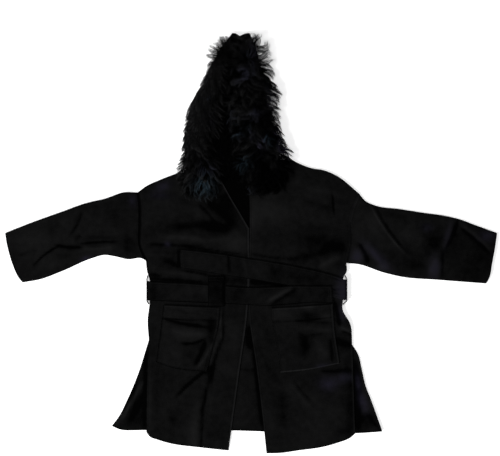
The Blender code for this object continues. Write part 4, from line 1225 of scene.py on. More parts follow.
def area_of(plan):
    """The plan area of a grid, in square metres."""
    across = plan[1:, 1:] - plan[:-1, :-1]
    other = plan[1:, :-1] - plan[:-1, 1:]
    twice = across[..., 0] * other[..., 1] - across[..., 1] * other[..., 0]
    return 0.5 * abs(twice.sum()) * MM * MM


def enlist(obj, node=None):
    """Gives a piece its body, and hides the solid that it replaces."""
    if node:
        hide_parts(node)
    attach(obj, "root")


def declare(obj, node, plan, layers=1.0):
    """Puts a piece of cloth in place of its solid and gives it its body. The size and area that it works out
    from the plan grid, or from so many times it, are not used.
    """
    size = np.ptp(plan.reshape(-1, 2), axis=0) * MM
    flat = (float(size[0]) * layers, float(size[1]))
    area = min(float(area_of(plan)) * layers, flat[0] * flat[1])
    enlist(obj, node)


def lay(name, node, plan, heights, rim, marks, material):
    """A sheet between its underside and its top, with rounded edges, put in place of its solid."""
    obj = slab(name, *rounded(plan, *heights, rim), material, marks)
    declare(obj, node, plan)


def pocket_plan(side, finer):
    """The grid of a pocket, whose first column is the one nearest the wearer's right."""
    near, far = ("side", "inner") if side == "right" else ("inner", "side")
    names = [(f"pocket_{part}_{side}",) for part in ("top", "foot", near, far)]
    return patch(*names, finer)


def lobe_outline(sections):
    """The plan outline of a fur lobe, with its sagging foot."""
    outer = [(row.x_out, row.y_out) for row in sections]
    lips = [(row.x_lip, row.y_lip) for row in sections]
    first = sections[0]
    foot = (0.5 * (first.x_out + first.x_lip), 0.5 * (first.y_out + first.y_lip) - first.sag)
    return np.array([foot, *outer, *lips[::-1]], float)


def freedom(plan):
    """1 where a front lies free and 0 where the belt, a pocket or the fur presses it flat."""
    x, y = plan[..., 0], plan[..., 1]
    upper = np.interp(x, *np.transpose(BELT_BAND_TOP))
    free = onset(np.maximum(y - upper, BELT_BAND_FOOT - y), *PRESS_AT)
    pressing = [outline_of(pocket_plan(side, 1)) for side in SIDES]
    pressing += [lobe_outline(LOBES[side]) for side in SIDES]
    for outline in pressing:
        away = np.where(inside(plan, outline), 0.0, distance_to(plan, outline))
        free = free * onset(away, *PRESS_AT)
    return free


def back_hem_height(plan, height):
    """A height above the back that falls to the floor past the back's hem."""
    hem = line_of("back_hem")
    past = np.interp(plan[..., 0], hem[:, 0], hem[:, 1]) - plan[..., 1]
    return height * (1.0 - onset(past, *HEM_DROP_AT))


def hump_over_belt(plan):
    """How far the coat rises over the stretch of belt that runs under it."""
    low, high = HUMP_LEVEL
    outside = np.maximum(plan[..., 1] - high, low - plan[..., 1])
    return BELT_HUMP * (1.0 - ease(outside / HUMP_REACH))


def beyond_fronts(plan):
    """How far each plan point lies out beyond the nearer front's vent edge."""
    x, y = plan[..., 0], plan[..., 1]
    beyond = np.full(x.shape, -np.inf)
    for side in SIDES:
        vent = line_of(f"front_vent_{side}")[::-1]
        beyond = np.maximum(beyond, OUTWARDS[side] * (x - np.interp(y, vent[:, 1], vent[:, 0])))
    return beyond


def build_back(cloth, material):
    top = ("shoulder_right", "neck_right", "neck_middle", "neck_left", "shoulder_left")
    near = ("armhole_right", "side_right", "back_flare_right")
    far = ("armhole_left", "side_left", "back_flare_left")
    plan = patch(top, ("back_hem",), near, far, BACK_FINER)
    rim = from_rim(plan)
    beyond = beyond_fronts(plan)
    ridge, nap = creased(plan, BACK_CREASES)
    curl = FLARE_CURL * onset(beyond, *FLARE_CURL_AT)
    under = hump_over_belt(plan) + np.maximum(curl + ridge * onset(beyond, *FLARE_RIDGE_AT), 0.0)
    nap = nap - BACK_SHADE * onset(plan[..., 1], *BACK_SHADE_AT)
    marks = marks_of(plan, "back", ("back_hem", *near, *far), nap, rim)
    heights = (under, under + cloth.wall / MM)
    lay("wool_back", "back_panel", plan, heights, rim, marks, material)


def build_front(side, cloth, material):
    seam = (f"armhole_{side}", f"side_{side}", f"front_vent_{side}")
    opening = (f"neckline_{side}", f"front_edge_{side}")
    hem = (f"front_hem_{side}",)
    if side == "right":
        plan = patch(("shoulder_right", "neck_right"), hem, seam, opening, PANEL_FINER)
    else:
        plan = patch(("neck_left", "shoulder_left"), hem, opening, seam, PANEL_FINER)
    rim = from_rim(plan)
    rest = back_hem_height(plan, CLOTH + LAYER_GAP) + hump_over_belt(plan)
    fold, nap = creased(plan, BODY_CREASES)
    puff = PUFF * ease(rim / PUFF_REACH)
    ripple = fold * ease(rim / RIPPLE_REACH + RIPPLE_AT_EDGE)
    under = rest + freedom(plan) * np.maximum(puff + ripple, 0.0)
    marks = marks_of(plan, "front", seam + opening, nap, rim)
    heights = (under, under + cloth.wall / MM)
    lay(f"wool_front_{side}", f"front_{side}", plan, heights, rim, marks, material)


def sleeve_rows(side):
    """The plan rows of a sleeve, each from its top edge to its lower edge, from the armhole to the cuff."""
    names = [(f"{part}_{side}",) for part in ("sleeve_top", "sleeve_under", "armhole", "cuff")]
    lap = np.array((-OUTWARDS[side] * SEAM_LAP, 0.0))
    return patch(*names, PANEL_FINER).transpose(1, 0, 2) + lap


def with_rim_points(row):
    """A sleeve's row again, with points close to each of its ends, and how far along it its points lie."""
    at = travelled(row)
    near, width = np.array(SLEEVE_RIM_PLACES), at[-1]
    count = len(row) - len(near) - 2
    inner = np.linspace(near[-1], width - near[-1], count)[1:-1]
    wanted = np.concatenate([[0.0], near, inner, width - near[::-1], [width]])
    return sample(wanted, at, row), wanted


def section_loops(rows, low, high, inset=0.0):
    """Closed sections of a flattened tube: the lower points of each row and then its upper ones, reversed."""
    if inset:
        run = rows[:, -1:] - rows[:, :1]
        width = np.linalg.norm(run, axis=2, keepdims=True)
        share = np.linalg.norm(rows - rows[:, :1], axis=2, keepdims=True) / width
        rows = rows + inset * run / width * (1.0 - 2.0 * share)
    upper = np.dstack([rows, high])[:, 1:-1]
    return np.concatenate([np.dstack([rows, low]), upper[:, ::-1]], axis=1)


def build_sleeve(side, cloth, material):
    wall = cloth.wall / MM
    made = [with_rim_points(row) for row in sleeve_rows(side)]
    rows = np.array([row for row, _ in made])
    across = np.array([at for _, at in made])
    rim = np.minimum(across, across[:, -1:] - across)
    from_seam = from_line(rows, f"armhole_{side}")
    from_end = np.minimum(from_seam, from_line(rows, f"cuff_{side}"))
    fold, nap = creased(rows, SLEEVE_CREASES[side])
    opened = SLEEVE_HOLLOW * ease(from_seam / PUFF_REACH) + LAYER_GAP
    opened = opened * ease(rim / PUFF_REACH + SWELL_AT_RIM) + fold * ease(from_seam / PUFF_REACH)
    top = 2 * wall + np.maximum(opened, LAYER_GAP)
    middle = 0.5 * (2 * wall + LAYER_GAP)
    thin = 0.5 * wall * (1.0 - quarter(from_end / EDGE_ROUND))

    def tube_at(inset):
        """The lower and upper heights of the tube so far in from its outer face."""
        roll = quarter((rim - inset) / (SLEEVE_RIM - inset))
        return middle - (middle - inset) * roll, middle + (top - inset - middle) * roll

    low, high = tube_at(0.0)
    outer = section_loops(rows, low + thin, high - thin)
    low, high = tube_at(wall)
    inner = section_loops(rows, low - thin, high + thin, inset=wall)
    loops = np.concatenate([outer, inner[::-1]])
    marks = marks_of(rows, f"sleeve_{side}", (f"armhole_{side}",), nap, np.minimum(from_end, RIM_FAR))
    looped = {}
    for key, values in marks.items():
        around = np.concatenate([values, values[:, -2:0:-1]], axis=1)
        looped[key] = np.concatenate([around, around[::-1]])
    obj = loft(f"wool_sleeve_{side}", loops, material, looped, ring=True)
    declare(obj, f"sleeve_{side}", rows, layers=2.0)


def pocket_heights(side, plan, rim, wall):
    """The underside and the top of a pocket at each plan point, and its painted light and shade."""
    below_top = from_line(plan, f"pocket_top_{side}")
    fold, nap = creased(plan, POCKET_CREASES[side])
    puff = POCKET_PUFF * ease(rim / POCKET_PUFF_REACH)
    ripple = fold * ease(rim / (0.5 * POCKET_PUFF_REACH))
    under = FRONT_TOP + POCKET_GAP + np.maximum(puff + ripple, 0.0) + hump_over_belt(plan)
    hem = POCKET_HEM_EXTRA * (1.0 - onset(below_top, POCKET_HEM_DEPTH, POCKET_HEM_STEP))
    # Painted shade in a line just below the turned hem's step
    nap = nap - POCKET_LINE_SHADE * bell((below_top - POCKET_HEM_DEPTH - POCKET_LINE_DEPTH) / POCKET_LINE_WIDTH)
    return under, under + wall + hem, nap + POCKET_HEM_LIGHTER * (hem > 0.5 * POCKET_HEM_EXTRA)


def build_pocket(side, cloth, material):
    plan = pocket_plan(side, POCKET_FINER)
    rim = from_rim(plan)
    *heights, nap = pocket_heights(side, plan, rim, cloth.wall / MM)
    name = f"pocket_{side}"
    marks = marks_of(plan, name, [f"pocket_{part}_{side}" for part in ("foot", "side", "inner")], nap, rim)
    lay("wool_" + name, name, plan, heights, rim, marks, material)


def belt_shares(width):
    """Shares across the belt: even ones, and some close to both edges."""
    rim = np.array(EDGE_PLACES) / width
    return np.concatenate([rim, np.arange(1, BELT_COLUMNS) / BELT_COLUMNS, 1.0 - rim[::-1]])


def belt_flat(side, wall):
    """The plan rows of the belt end from a side, its underside, its top, its painted light and shade and its
    width.
    """
    fine = through(BELT_ENDS[side].stations, BELT_SPANS)
    width = np.linalg.norm(fine[:, 0:2] - fine[:, 2:4], axis=1).mean()
    shares = belt_shares(width)[None, :, None]
    plan = (1 - shares) * fine[:, None, 0:2] + shares * fine[:, None, 2:4]
    under = np.repeat(fine[:, 4:5], plan.shape[1], axis=1)
    fold, nap = creased(plan, BELT_CREASES[BELT_ENDS[side].key])
    return plan, under, under + wall + np.maximum(fold, -BELT_DIP * wall), nap, width


def turn_section(row, normal_x, normal_z, outwards, height, rim):
    """A section across the belt, whose outer face looks along the given normal."""
    half = 0.5 * BELT * np.maximum(quarter(rim / EDGE_ROUND), EDGE_LEAST)
    shift_x = outwards * half * normal_x
    inner = np.column_stack([row[:, 0] - shift_x, row[:, 1], height - half * normal_z])
    outer = np.column_stack([row[:, 0] + shift_x, row[:, 1], height + half * normal_z])
    return np.concatenate([inner, outer[::-1]])


def belt_turn(row, outwards, under, rim):
    """Sections of the belt where it turns round the coat's side, from under the back to the front."""
    radius = 0.5 * under
    tucked = row - outwards * np.array((TURN_TUCK, 0.0))
    loops = [turn_section(tucked, 0.0, -1.0, outwards, 0.5 * BELT, rim)]
    for angle in np.linspace(-0.5 * np.pi, 0.5 * np.pi, TURN_SPANS + 1):
        moved = row + outwards * np.array((radius * np.cos(angle), 0.0))
        height = 0.5 * BELT + radius + radius * np.sin(angle)
        loops.append(turn_section(moved, np.cos(angle), np.sin(angle), outwards, height, rim))
    return np.array(loops)


def build_belt_end(side, cloth, material):
    key, stations = BELT_ENDS[side]
    plan, under, over, nap, width = belt_flat(side, cloth.belt_wall / MM)
    shares = belt_shares(width)
    across = np.minimum(shares, 1.0 - shares) * width
    from_end = np.linalg.norm(plan - plan[-1:], axis=2)
    rim = np.minimum(across[None], from_end)
    lower, upper = rounded(plan, under, over, rim)
    flat = np.concatenate([lower, upper[:, ::-1]], axis=1)
    turn = belt_turn(plan[0], OUTWARDS[side], stations[0].under, across)
    looped = {}
    for mark, values in marks_of(plan, f"belt_{key}", (), nap, rim).items():
        both = np.concatenate([values, values[:, ::-1]], axis=1)
        looped[mark] = np.concatenate([np.repeat(both[:1], len(turn), axis=0), both[1:]])
    obj = loft(f"belt_{key}", np.concatenate([turn, flat[1:]]), material, looped)
    reach = steps_of(plan[:, 0]).sum() + TURN_TUCK + 0.5 * np.pi * stations[0].under
    size = (float(width * MM), float(reach * MM))
    enlist(obj, f"belt_{key}_end")


def build_belt_back(cloth, material):
    near, far = (BELT_ENDS[side].stations[0] for side in SIDES)
    first = near.x_upper + TURN_TUCK + SEAM_GAP
    last = far.x_upper - TURN_TUCK - SEAM_GAP
    shares = belt_shares(near.y_upper - near.y_lower)
    columns = np.linspace(0.0, 1.0, BELT_SPANS)[:, None]
    upper_y = near.y_upper + (far.y_upper - near.y_upper) * columns
    lower_y = near.y_lower + (far.y_lower - near.y_lower) * columns
    y = upper_y + (lower_y - upper_y) * shares[None]
    plan = np.dstack([np.broadcast_to(first + (last - first) * columns, y.shape), y])
    rim = from_rim(plan)
    under = np.zeros(rim.shape)
    marks = marks_of(plan, "belt_long", (), under, rim)
    heights = (under, under + cloth.belt_wall / MM)
    lay("belt_behind", "belt_back", plan, heights, rim, marks, material)


def with_edge_places(start, inner, end):
    """The inner places, between some close to the start and some close to the end."""
    rim = np.sign(end - start) * np.array(EDGE_PLACES)
    return np.concatenate([start + rim, inner, end - rim[::-1]])


def build_front_loop(material):
    """The loop on the front, which steps over the long belt end."""
    start, end = FRONT_LOOP_Y
    inner = np.linspace(start - LOOP_ROWS_INSET, end + LOOP_ROWS_INSET, LOOP_ROWS)
    y = with_edge_places(start, inner, end)
    x = with_edge_places(FRONT_LOOP_X[0], np.linspace(*FRONT_LOOP_X, LOOP_COLUMNS)[1:-1], FRONT_LOOP_X[1])
    sewn = start - LOOP_STITCHED
    turns = (end, end + LOOP_FOOT, end + 2 * LOOP_FOOT, sewn - LOOP_RISE, sewn, start)
    raised = CROSSING_UNDER - BELT_UNDER
    heights = np.interp(y, turns, BELT_UNDER + raised * np.array((0, 0, 1, 1, 0, 0)))
    plan = np.dstack(np.meshgrid(x, y))
    under = np.repeat(heights[:, None], len(x), axis=1)
    rim = from_rim(plan)
    marks = marks_of(plan, "loop", (), 0.0 * rim, rim)
    heights = (under, under + LOOP)
    lay("wool_loop_front", "belt_loop_front", plan, heights, rim, marks, material)


def build_side_loop(side, material):
    """A narrow band on edge that stands round the belt where it turns at the coat's side."""
    names = (f"armhole_{side}", f"side_{side}")
    spans = sum(LINES[name].spans for name in names)
    seam = edge(names, np.arange(0, spans + 0.01, 0.5))[::-1]
    start, end = SIDE_LOOP_Y
    clear = OUTWARDS[side] * (SEAM_GAP + 0.5 * LOOP)
    feet = [np.interp(y, seam[:, 1], seam[:, 0]) + SIDE_LOOP_FEET_CLEAR * clear for y in (start, end)]
    turn = 0.5 * BELT_UNDER + 0.5 * BELT
    reach = BELT_ENDS[side].stations[0].x_upper + OUTWARDS[side] * turn + clear
    bend, ease_in = SIDE_LOOP_BEND, SIDE_LOOP_EASE * SIDE_LOOP_BEND
    halfway = [0.5 * (foot + reach) for foot in feet]
    down = [(feet[0], start), (halfway[0], start - 0.5 * bend), (reach, start - bend)]
    back = [(reach, end + bend), (halfway[1], end + 0.5 * bend), (feet[1], end)]
    across = [(reach, start - bend - ease_in), (reach, end + bend + ease_in)]
    line = through(down + across + back, SIDE_LOOP_SPANS)
    run = np.gradient(line, axis=0)
    sideways = np.column_stack([-run[:, 1], run[:, 0]]) / np.linalg.norm(run, axis=1)[:, None]
    height, share = np.transpose(SIDE_LOOP_SECTION)
    half = (0.5 * LOOP * share)[None, :, None] * sideways[:, None]
    level = np.broadcast_to(height, (len(line), len(height)))
    lower = np.dstack([line[:, None] - half, level])
    upper = np.dstack([line[:, None] + half, level])
    nothing = np.zeros(level.shape)
    middle = np.broadcast_to(line[:, None], half.shape)
    marks = marks_of(middle, "loop", (), nothing, nothing + height[-1])
    obj = slab(f"wool_loop_side_{side}", lower, upper, material, marks)
    enlist(obj, f"belt_loop_side_{side}")


def fur_rows(side):
    """The fine sections of a fur side: those of the lobe, then those above the neck seam."""
    lobe, crown = LOBES[side], CROWNS[side]
    seam = lobe[-1]
    above = seam._replace(y_out=seam.y_out - SEAM_LAP, y_lip=seam.y_lip - SEAM_LAP)
    return through(lobe, LOBE_SPANS * SKIN_FINER), through((above, *crown), CROWN_SPANS * SKIN_FINER)


def section_plan(rows, shares):
    """Plan points across the sections at the given shares from the outer end to the lip."""
    x_out, y_out, x_lip, y_lip, sag, _ = rows.T[:, :, None]
    x = x_out + (x_lip - x_out) * shares
    y = y_out + (y_lip - y_out) * shares - sag * 4 * shares * (1 - shares)
    return np.dstack([x, y])


def ground_under(shares, in_lobe, y):
    """How high the fur's support stands under each place of a section."""
    over_back = (HOOD_BACK_TOP + LAYER_GAP) * onset(shares, *HOOD_BACK_AT)
    on_coat = FUR_UNDER * ease((COAT_END - y) / COAT_END_REACH)
    return np.where(in_lobe, FUR_UNDER, np.maximum(over_back, on_coat))


def skin_grid(side):
    """The skin under a side's fur: its plan, top and ground, and each point's share across and along it."""
    growth = GROWTHS[side]
    lobe, crown = fur_rows(side)
    rows = np.concatenate([lobe, crown[1:]])
    in_lobe = (np.arange(len(rows)) < len(lobe))[:, None]
    shares = (0.5 - 0.5 * np.cos(np.pi * np.linspace(0.0, 1.0, SKIN_COLUMNS)))[None, :]
    width = np.hypot(rows[:, 2] - rows[:, 0], rows[:, 3] - rows[:, 1])[:, None]
    travel = np.linspace(0.0, 1.0, len(rows))[:, None]
    reach = np.interp(rows[:, 1:2], *np.transpose(REACHES[side]))
    outer = growth.inset_out + growth.inset_crown * onset(travel, *CROWN_INSET_AT) - reach
    first, last = outer / width, 1.0 - growth.inset_lip / width
    inset = first + (last - first) * shares
    plan = section_plan(rows, inset)
    tail = growth.inset_tail * (1.0 - ease(travel / LOBE_TAIL_REACH))
    plan[..., 1] += tail - CROWN_TAIL * onset(travel, *CROWN_TAIL_AT)
    swell = (1.0 - np.abs(2 * shares - 1) ** SKIN_ROUNDNESS) ** (1 / SKIN_ROUNDNESS)
    ground = ground_under(inset, in_lobe, plan[..., 1])
    seat = ground + SKIN_SEAT + SKIN
    height = np.maximum(rows[:, 5:6] - growth.depth, seat + SKIN_LEAST)
    tuft = TUFT * np.sin(2 * np.pi * (TUFTS_ALONG * travel + TUFTS_ACROSS * shares)) * swell
    top = seat + (height - seat) * swell + tuft * (travel > TUFTS_FROM)
    return plan, np.maximum(top, seat), ground, inset + 0.0 * travel, travel + 0.0 * inset


def comb_of(side, plan, share, travel):
    """Unit vectors along which the fur lies: out over each rim and down to the hem, and up at the crown."""
    outwards = OUTWARDS[side] * np.clip((COMB_PARTING - share) / COMB_PARTING_REACH, -1.0, 1.0)
    crown = onset(travel, *COMB_CROWN_AT)
    lobe = 1.0 - ease(travel / COMB_LOBE_REACH)
    x = outwards * (COMB_OUT - COMB_OUT_LESS * lobe)
    y = -GROWTHS[side].down * (1.0 - COMB_CROWN_TURN * crown) - COMB_LOBE_DOWN * lobe
    waves = WANDER_WAVES[1] * plan[..., 1] + WANDER_WAVES[0] * plan[..., 0]
    x = x + WANDER * np.sin(waves) * (1.0 - crown)
    return np.dstack([x, y, np.zeros_like(x)]) / np.hypot(x, y)[..., None]


def smooth_part(side, share, travel):
    """Where the pile is short and lies smooth, on the outer face of the right side."""
    if side == "left":
        return np.zeros_like(share)
    low, high = SMOOTH_TRAVEL
    along = ease((travel - low) / SMOOTH_TRAVEL_REACH) * ease((high - travel) / SMOOTH_TRAVEL_REACH)
    return along * ease((SMOOTH_SHARE - share) / SMOOTH_SHARE_REACH)


def add_growth(obj, comb, seen):
    """Keeps how the fur lies on a skin, and that it grows where its upper grid is seen."""
    add_mark(obj.data, "comb", np.concatenate([comb.reshape(-1, 3)] * 2))
    add_mark(obj.data, "furred", np.concatenate([np.zeros(seen.size), seen.ravel()]))


def build_skin(side, material):
    """The skin under one side's fur, with the values that the strands grow by."""
    growth = GROWTHS[side]
    plan, top, ground, share, travel = skin_grid(side)
    smooth = smooth_part(side, share, travel)
    under = np.maximum(top - SKIN, ground + SKIN_SEAT)
    lower = np.dstack([plan, under])
    upper = np.dstack([plan, np.maximum(top, under + SKIN_THINNEST * SKIN)])
    at_crown = 1.0 - CROWN_PILE_LESS * onset(travel, *CROWN_PILE_AT)
    at_tail = TAIL_PILE + (1.0 - TAIL_PILE) * ease(travel / TAIL_PILE_REACH)
    at_lobe = 1.0 - ease(travel / LOBE_CURL_REACH)
    pile = growth.pile * (1.0 - (1.0 - SMOOTH_PILE) * smooth) * (at_crown * at_tail)
    comb = comb_of(side, plan, share, travel)
    seen = plan + comb[..., :2] * (SEEN_ALONG * pile)[..., None]
    shine = covered(seen, GLINTS)
    teal = sum(spread(seen, row) * row.amount * row.tint for row in GLINTS)
    marks = {
        "pile": pile * MM,
        "lift": growth.lift * (1.0 - SMOOTH_LIFT_LESS * smooth),
        "curl": growth.curl * (1.0 - SMOOTH_CURL_LESS * smooth) + LOBE_CURL * at_lobe,
        "ground": (ground + STRAND_CLEAR) * MM,
        "shine": shine,
        "teal": teal / np.maximum(shine, 0.001),
        "silver": covered(seen, SILVERS),
        "smooth": smooth,
        # Paler where the pile is smooth, with the fur's painted light and shade from its patches
        "tone": SMOOTH_TONE * smooth + covered(seen, FUR_TONES),
    }
    obj = slab(f"hood_skin_{side}", lower, upper, material, marks)
    add_growth(obj, comb, np.ones(share.shape))
    return obj, plan


def with_end_rows(rows):
    """Sections with more of them close to both ends, where the hood's back has its rounded edges."""
    last = len(rows) - 1.0
    close = np.array(END_ROWS)
    wanted = np.concatenate([[0.0], close, np.arange(1.0, last), last - close[::-1], [last]])
    return sample(wanted, np.arange(len(rows)), rows)


def build_hood_back(material):
    """The back of the hood between the two fur sides, lined with short dark pile."""
    right, left = (with_end_rows(fur_rows(side)[1]) for side in SIDES)
    hidden = np.array(HOOD_BACK_HIDDEN)
    below_right = section_plan(right, hidden[None, :])
    below_left = section_plan(left, hidden[None, ::-1])
    share = np.linspace(0.0, 1.0, HOOD_BACK_COLUMNS)[1:-1][None, :, None]
    between = below_right[:, -1:] * (1 - share) + below_left[:, :1] * share
    plan = np.concatenate([below_right, between, below_left], axis=1)
    across = np.linspace(0.0, 1.0, plan.shape[1])[None, :]
    rim = from_rim(plan)
    under = np.zeros(rim.shape)
    over = HOOD_BACK_TOP - HOOD_BACK_DIP * np.sin(np.pi * across) + under
    lower, upper = rounded(plan, under, over, rim)
    values = {**LINING_GROWTH, "ground": (HOOD_BACK_TOP - HOOD_BACK_DIP) * MM}
    marks = {key: np.full(rim.shape, value) for key, value in values.items()}
    marks["shine"] = LINING_SHINE * covered(plan, GLINTS)
    obj = slab("hood_lining", lower, upper, material, marks)
    seen = (across > LINING_EDGE) & (across < 1.0 - LINING_EDGE)
    add_growth(obj, np.broadcast_to(np.array(LINING_COMB), (*rim.shape, 3)), seen + 0.0 * rim)
    return obj, plan


def new_tree(name, sizes):
    """The graph of a new geometry node tree, and its inputs: a geometry and the named sizes."""
    tree = bpy.data.node_groups.new(name, "GeometryNodeTree")
    tree.interface.new_socket(name="Geometry", in_out="INPUT", socket_type="NodeSocketGeometry")
    for size, kind in sizes.items():
        tree.interface.new_socket(name=size, in_out="INPUT", socket_type=kind)
    tree.interface.new_socket(name="Geometry", in_out="OUTPUT", socket_type="NodeSocketGeometry")
    graph = Graph(tree)
    entry = tree.nodes.new("NodeGroupInput")
    return graph, {socket.name: Wire(graph, socket) for socket in entry.outputs if socket.name}


def close_tree(graph, geometry, material):
    """Ends a tree in realized instances with their material."""
    solid = graph.node("GeometryNodeRealizeInstances", {}, {"Geometry": geometry})
    painted = graph.node("GeometryNodeSetMaterial", {}, {"Geometry": solid, "Material": material})
    leave = graph.tree.nodes.new("NodeGroupOutput")
    graph.feed(leave.inputs[0], painted)
    return graph.tree


def named(graph, name, kind="FLOAT"):
    return graph.node("GeometryNodeInputNamedAttribute", {"data_type": kind}, {"Name": name}, "Attribute")


def store(graph, geometry, name, value, kind="FLOAT"):
    inputs = {"Geometry": geometry, "Name": name, "Value": value}
    return graph.node("GeometryNodeStoreNamedAttribute", {"data_type": kind, "domain": "POINT"}, inputs)


def straight(graph, ends, count):
    """A straight curve between the given ends, with so many points."""
    line = graph.node("GeometryNodeCurvePrimitiveLine", {"mode": "POINTS"}, ends)
    return graph.node("GeometryNodeResampleCurve", {"mode": "COUNT"}, {"Curve": line, "Count": count})


def tube(graph, curve, sides, radius, scale):
    """A closed round tube along a curve, scaled along it."""
    inputs = {"Resolution": sides, "Radius": radius}
    profile = graph.node("GeometryNodeCurvePrimitiveCircle", {"mode": "RADIUS"}, inputs)
    inputs = {"Curve": curve, "Profile Curve": profile, "Scale": scale, "Fill Caps": True}
    return graph.node("GeometryNodeCurveToMesh", {}, inputs)


def scatter(graph, surface, density, seed):
    """Points on the furred side of a surface, which keep their place, normal and chance."""
    inputs = {"Mesh": surface, "Density": named(graph, "furred") * density, "Seed": seed}
    settings = {"distribute_method": "RANDOM"}
    found = graph.node("GeometryNodeDistributePointsOnFaces", settings, inputs, "Points")
    points = store(graph, found, "root", graph.node("GeometryNodeInputPosition"), VECTOR)
    points = store(graph, points, "normal", found.also("Normal"), VECTOR)
    chance = graph.node("FunctionNodeRandomValue", {"data_type": "FLOAT"}, {"Seed": seed}, "Value")
    return store(graph, points, "chance", chance)


def strand_path(graph, prefix, along, reach):
    """Where a strand, or its lock's middle, runs: out along the comb, up from the skin and down again."""
    root = named(graph, prefix + "root", VECTOR)
    comb = named(graph, prefix + "comb", VECTOR)
    normal = named(graph, prefix + "normal", VECTOR)
    rise = named(graph, "lift") * (along - STRAND_ARCH * along * along)
    droop = graph.vector(Z=STRAND_DROOP * along * along * reach)
    return root + comb * (along * reach) + normal * (rise * reach) - droop


def by_chance(shares, chance):
    """The least share, and as much more as chance gives."""
    return shares[0] + shares[1] * chance


def phase(waves, along, chance):
    """The angle of a wave along a strand, shifted by chance."""
    return (waves[0] * along + chance * waves[1]) * (2 * math.pi)


def fur_tree(name, material):
    """Grows tapered strands from a skin, which gather into wavy locks."""
    graph, given = new_tree(name, FUR_INPUTS)
    skin, seed = given["Geometry"], given["Seed"]
    locks = scatter(graph, skin, given["Locks"], seed + LOCK_SEED)
    strands = scatter(graph, skin, given["Strands"], seed)
    inputs = {"Geometry": locks, "Sample Position": graph.node("GeometryNodeInputPosition")}
    nearest = graph.node("GeometryNodeSampleNearest", {"domain": "POINT"}, inputs)
    for key, kind in LOCK_MARKS.items():
        inputs = {"Geometry": locks, "Value": named(graph, key, kind), "Index": nearest}
        value = graph.node("GeometryNodeSampleIndex", {"data_type": kind, "domain": "POINT"}, inputs)
        strands = store(graph, strands, "lock_" + key, value, kind)
    line = straight(graph, {"End": (0.0, 0.0, 0.01)}, STRAND_POINTS)
    placed = graph.node("GeometryNodeInstanceOnPoints", {}, {"Points": strands, "Instance": line})
    curves = graph.node("GeometryNodeRealizeInstances", {}, {"Geometry": placed})
    along = graph.node("GeometryNodeSplineParameter", {}, {}, "Factor")
    curves = store(graph, curves, "along", along)
    # Each strand and each lock has its own length, and the strands draw together towards the lock's tip.
    chance, lock_chance = named(graph, "chance"), named(graph, "lock_chance")
    pile, lock_pile, curl = named(graph, "pile"), named(graph, "lock_pile"), named(graph, "curl")
    own = strand_path(graph, "", along, pile * by_chance(STRAND_LENGTH, chance))
    shared = strand_path(graph, "lock_", along, lock_pile * by_chance(LOCK_LENGTH, lock_chance))
    drawn = given["Gathering"] * graph.smooth(along, 0.0, 0.95) * by_chance(STRAND_DRAWN, chance)
    path = graph.mix("VECTOR", drawn, own, shared)
    # A lock swings sideways and up in waves, and each strand a little on its own.
    comb, normal = named(graph, "lock_comb", VECTOR), named(graph, "lock_normal", VECTOR)
    side = graph.vector_math("CROSS_PRODUCT", {0: comb, 1: normal})
    turn = graph.math("SINE", phase(LOCK_WAVES, along, lock_chance))
    loose = graph.math("SINE", phase(STRAY_WAVES, along, chance))
    swing = (turn * LOCK_SWING + loose * STRAY_SWING) * along * curl * lock_pile
    roll = graph.math("COSINE", phase(BOUNCE_WAVES, along, lock_chance))
    bounce = roll * LOCK_BOUNCE * along * curl * lock_pile
    path = path + side * swing + graph.vector(Z=bounce)
    # No strand sinks below what the fur lies on.
    x = graph.node("ShaderNodeSeparateXYZ", {}, {"Vector": path}, "X")
    z = graph.math("MAXIMUM", x.also("Z"), named(graph, "ground"))
    path = graph.vector(X=x, Y=x.also("Y"), Z=z)
    curves = graph.node("GeometryNodeSetPosition", {}, {"Geometry": curves, "Position": path})
    taper = given["Width"] * 0.5 * by_chance(STRAND_WIDTH, chance) * (TAPER_END - along) ** TAPER_POWER
    return close_tree(graph, tube(graph, curves, STRAND_SIDES, 1.0, taper), material)


def stitch_tree(name, material):
    """Sets a row of short, round stitches along the edges of a mesh."""
    graph, given = new_tree(name, STITCH_INPUTS)
    curve = graph.node("GeometryNodeMeshToCurve", {}, {"Mesh": given["Geometry"]})
    inputs = {"Curve": curve, "Length": given["Pitch"]}
    points = graph.node("GeometryNodeCurveToPoints", {"mode": "LENGTH"}, inputs, "Points")
    half = graph.vector(Z=given["Length"] * 0.5)
    line = straight(graph, {"Start": half * -1.0, "End": half}, STITCH_POINTS)
    along = graph.node("GeometryNodeSplineParameter", {}, {}, "Factor")
    swell = graph.math("SINE", along * math.pi)
    dive = graph.vector(X=(1.0 - swell) * given["Thread"] * -STITCH_SINK)
    line = graph.node("GeometryNodeSetPosition", {}, {"Geometry": line, "Offset": dive})
    stitch = tube(graph, line, STITCH_SIDES, 0.5, given["Thread"] * (0.45 + 0.55 * swell))
    inputs = {"Points": points, "Instance": stitch, "Rotation": points.also("Rotation")}
    return close_tree(graph, graph.node("GeometryNodeInstanceOnPoints", {}, inputs), material)


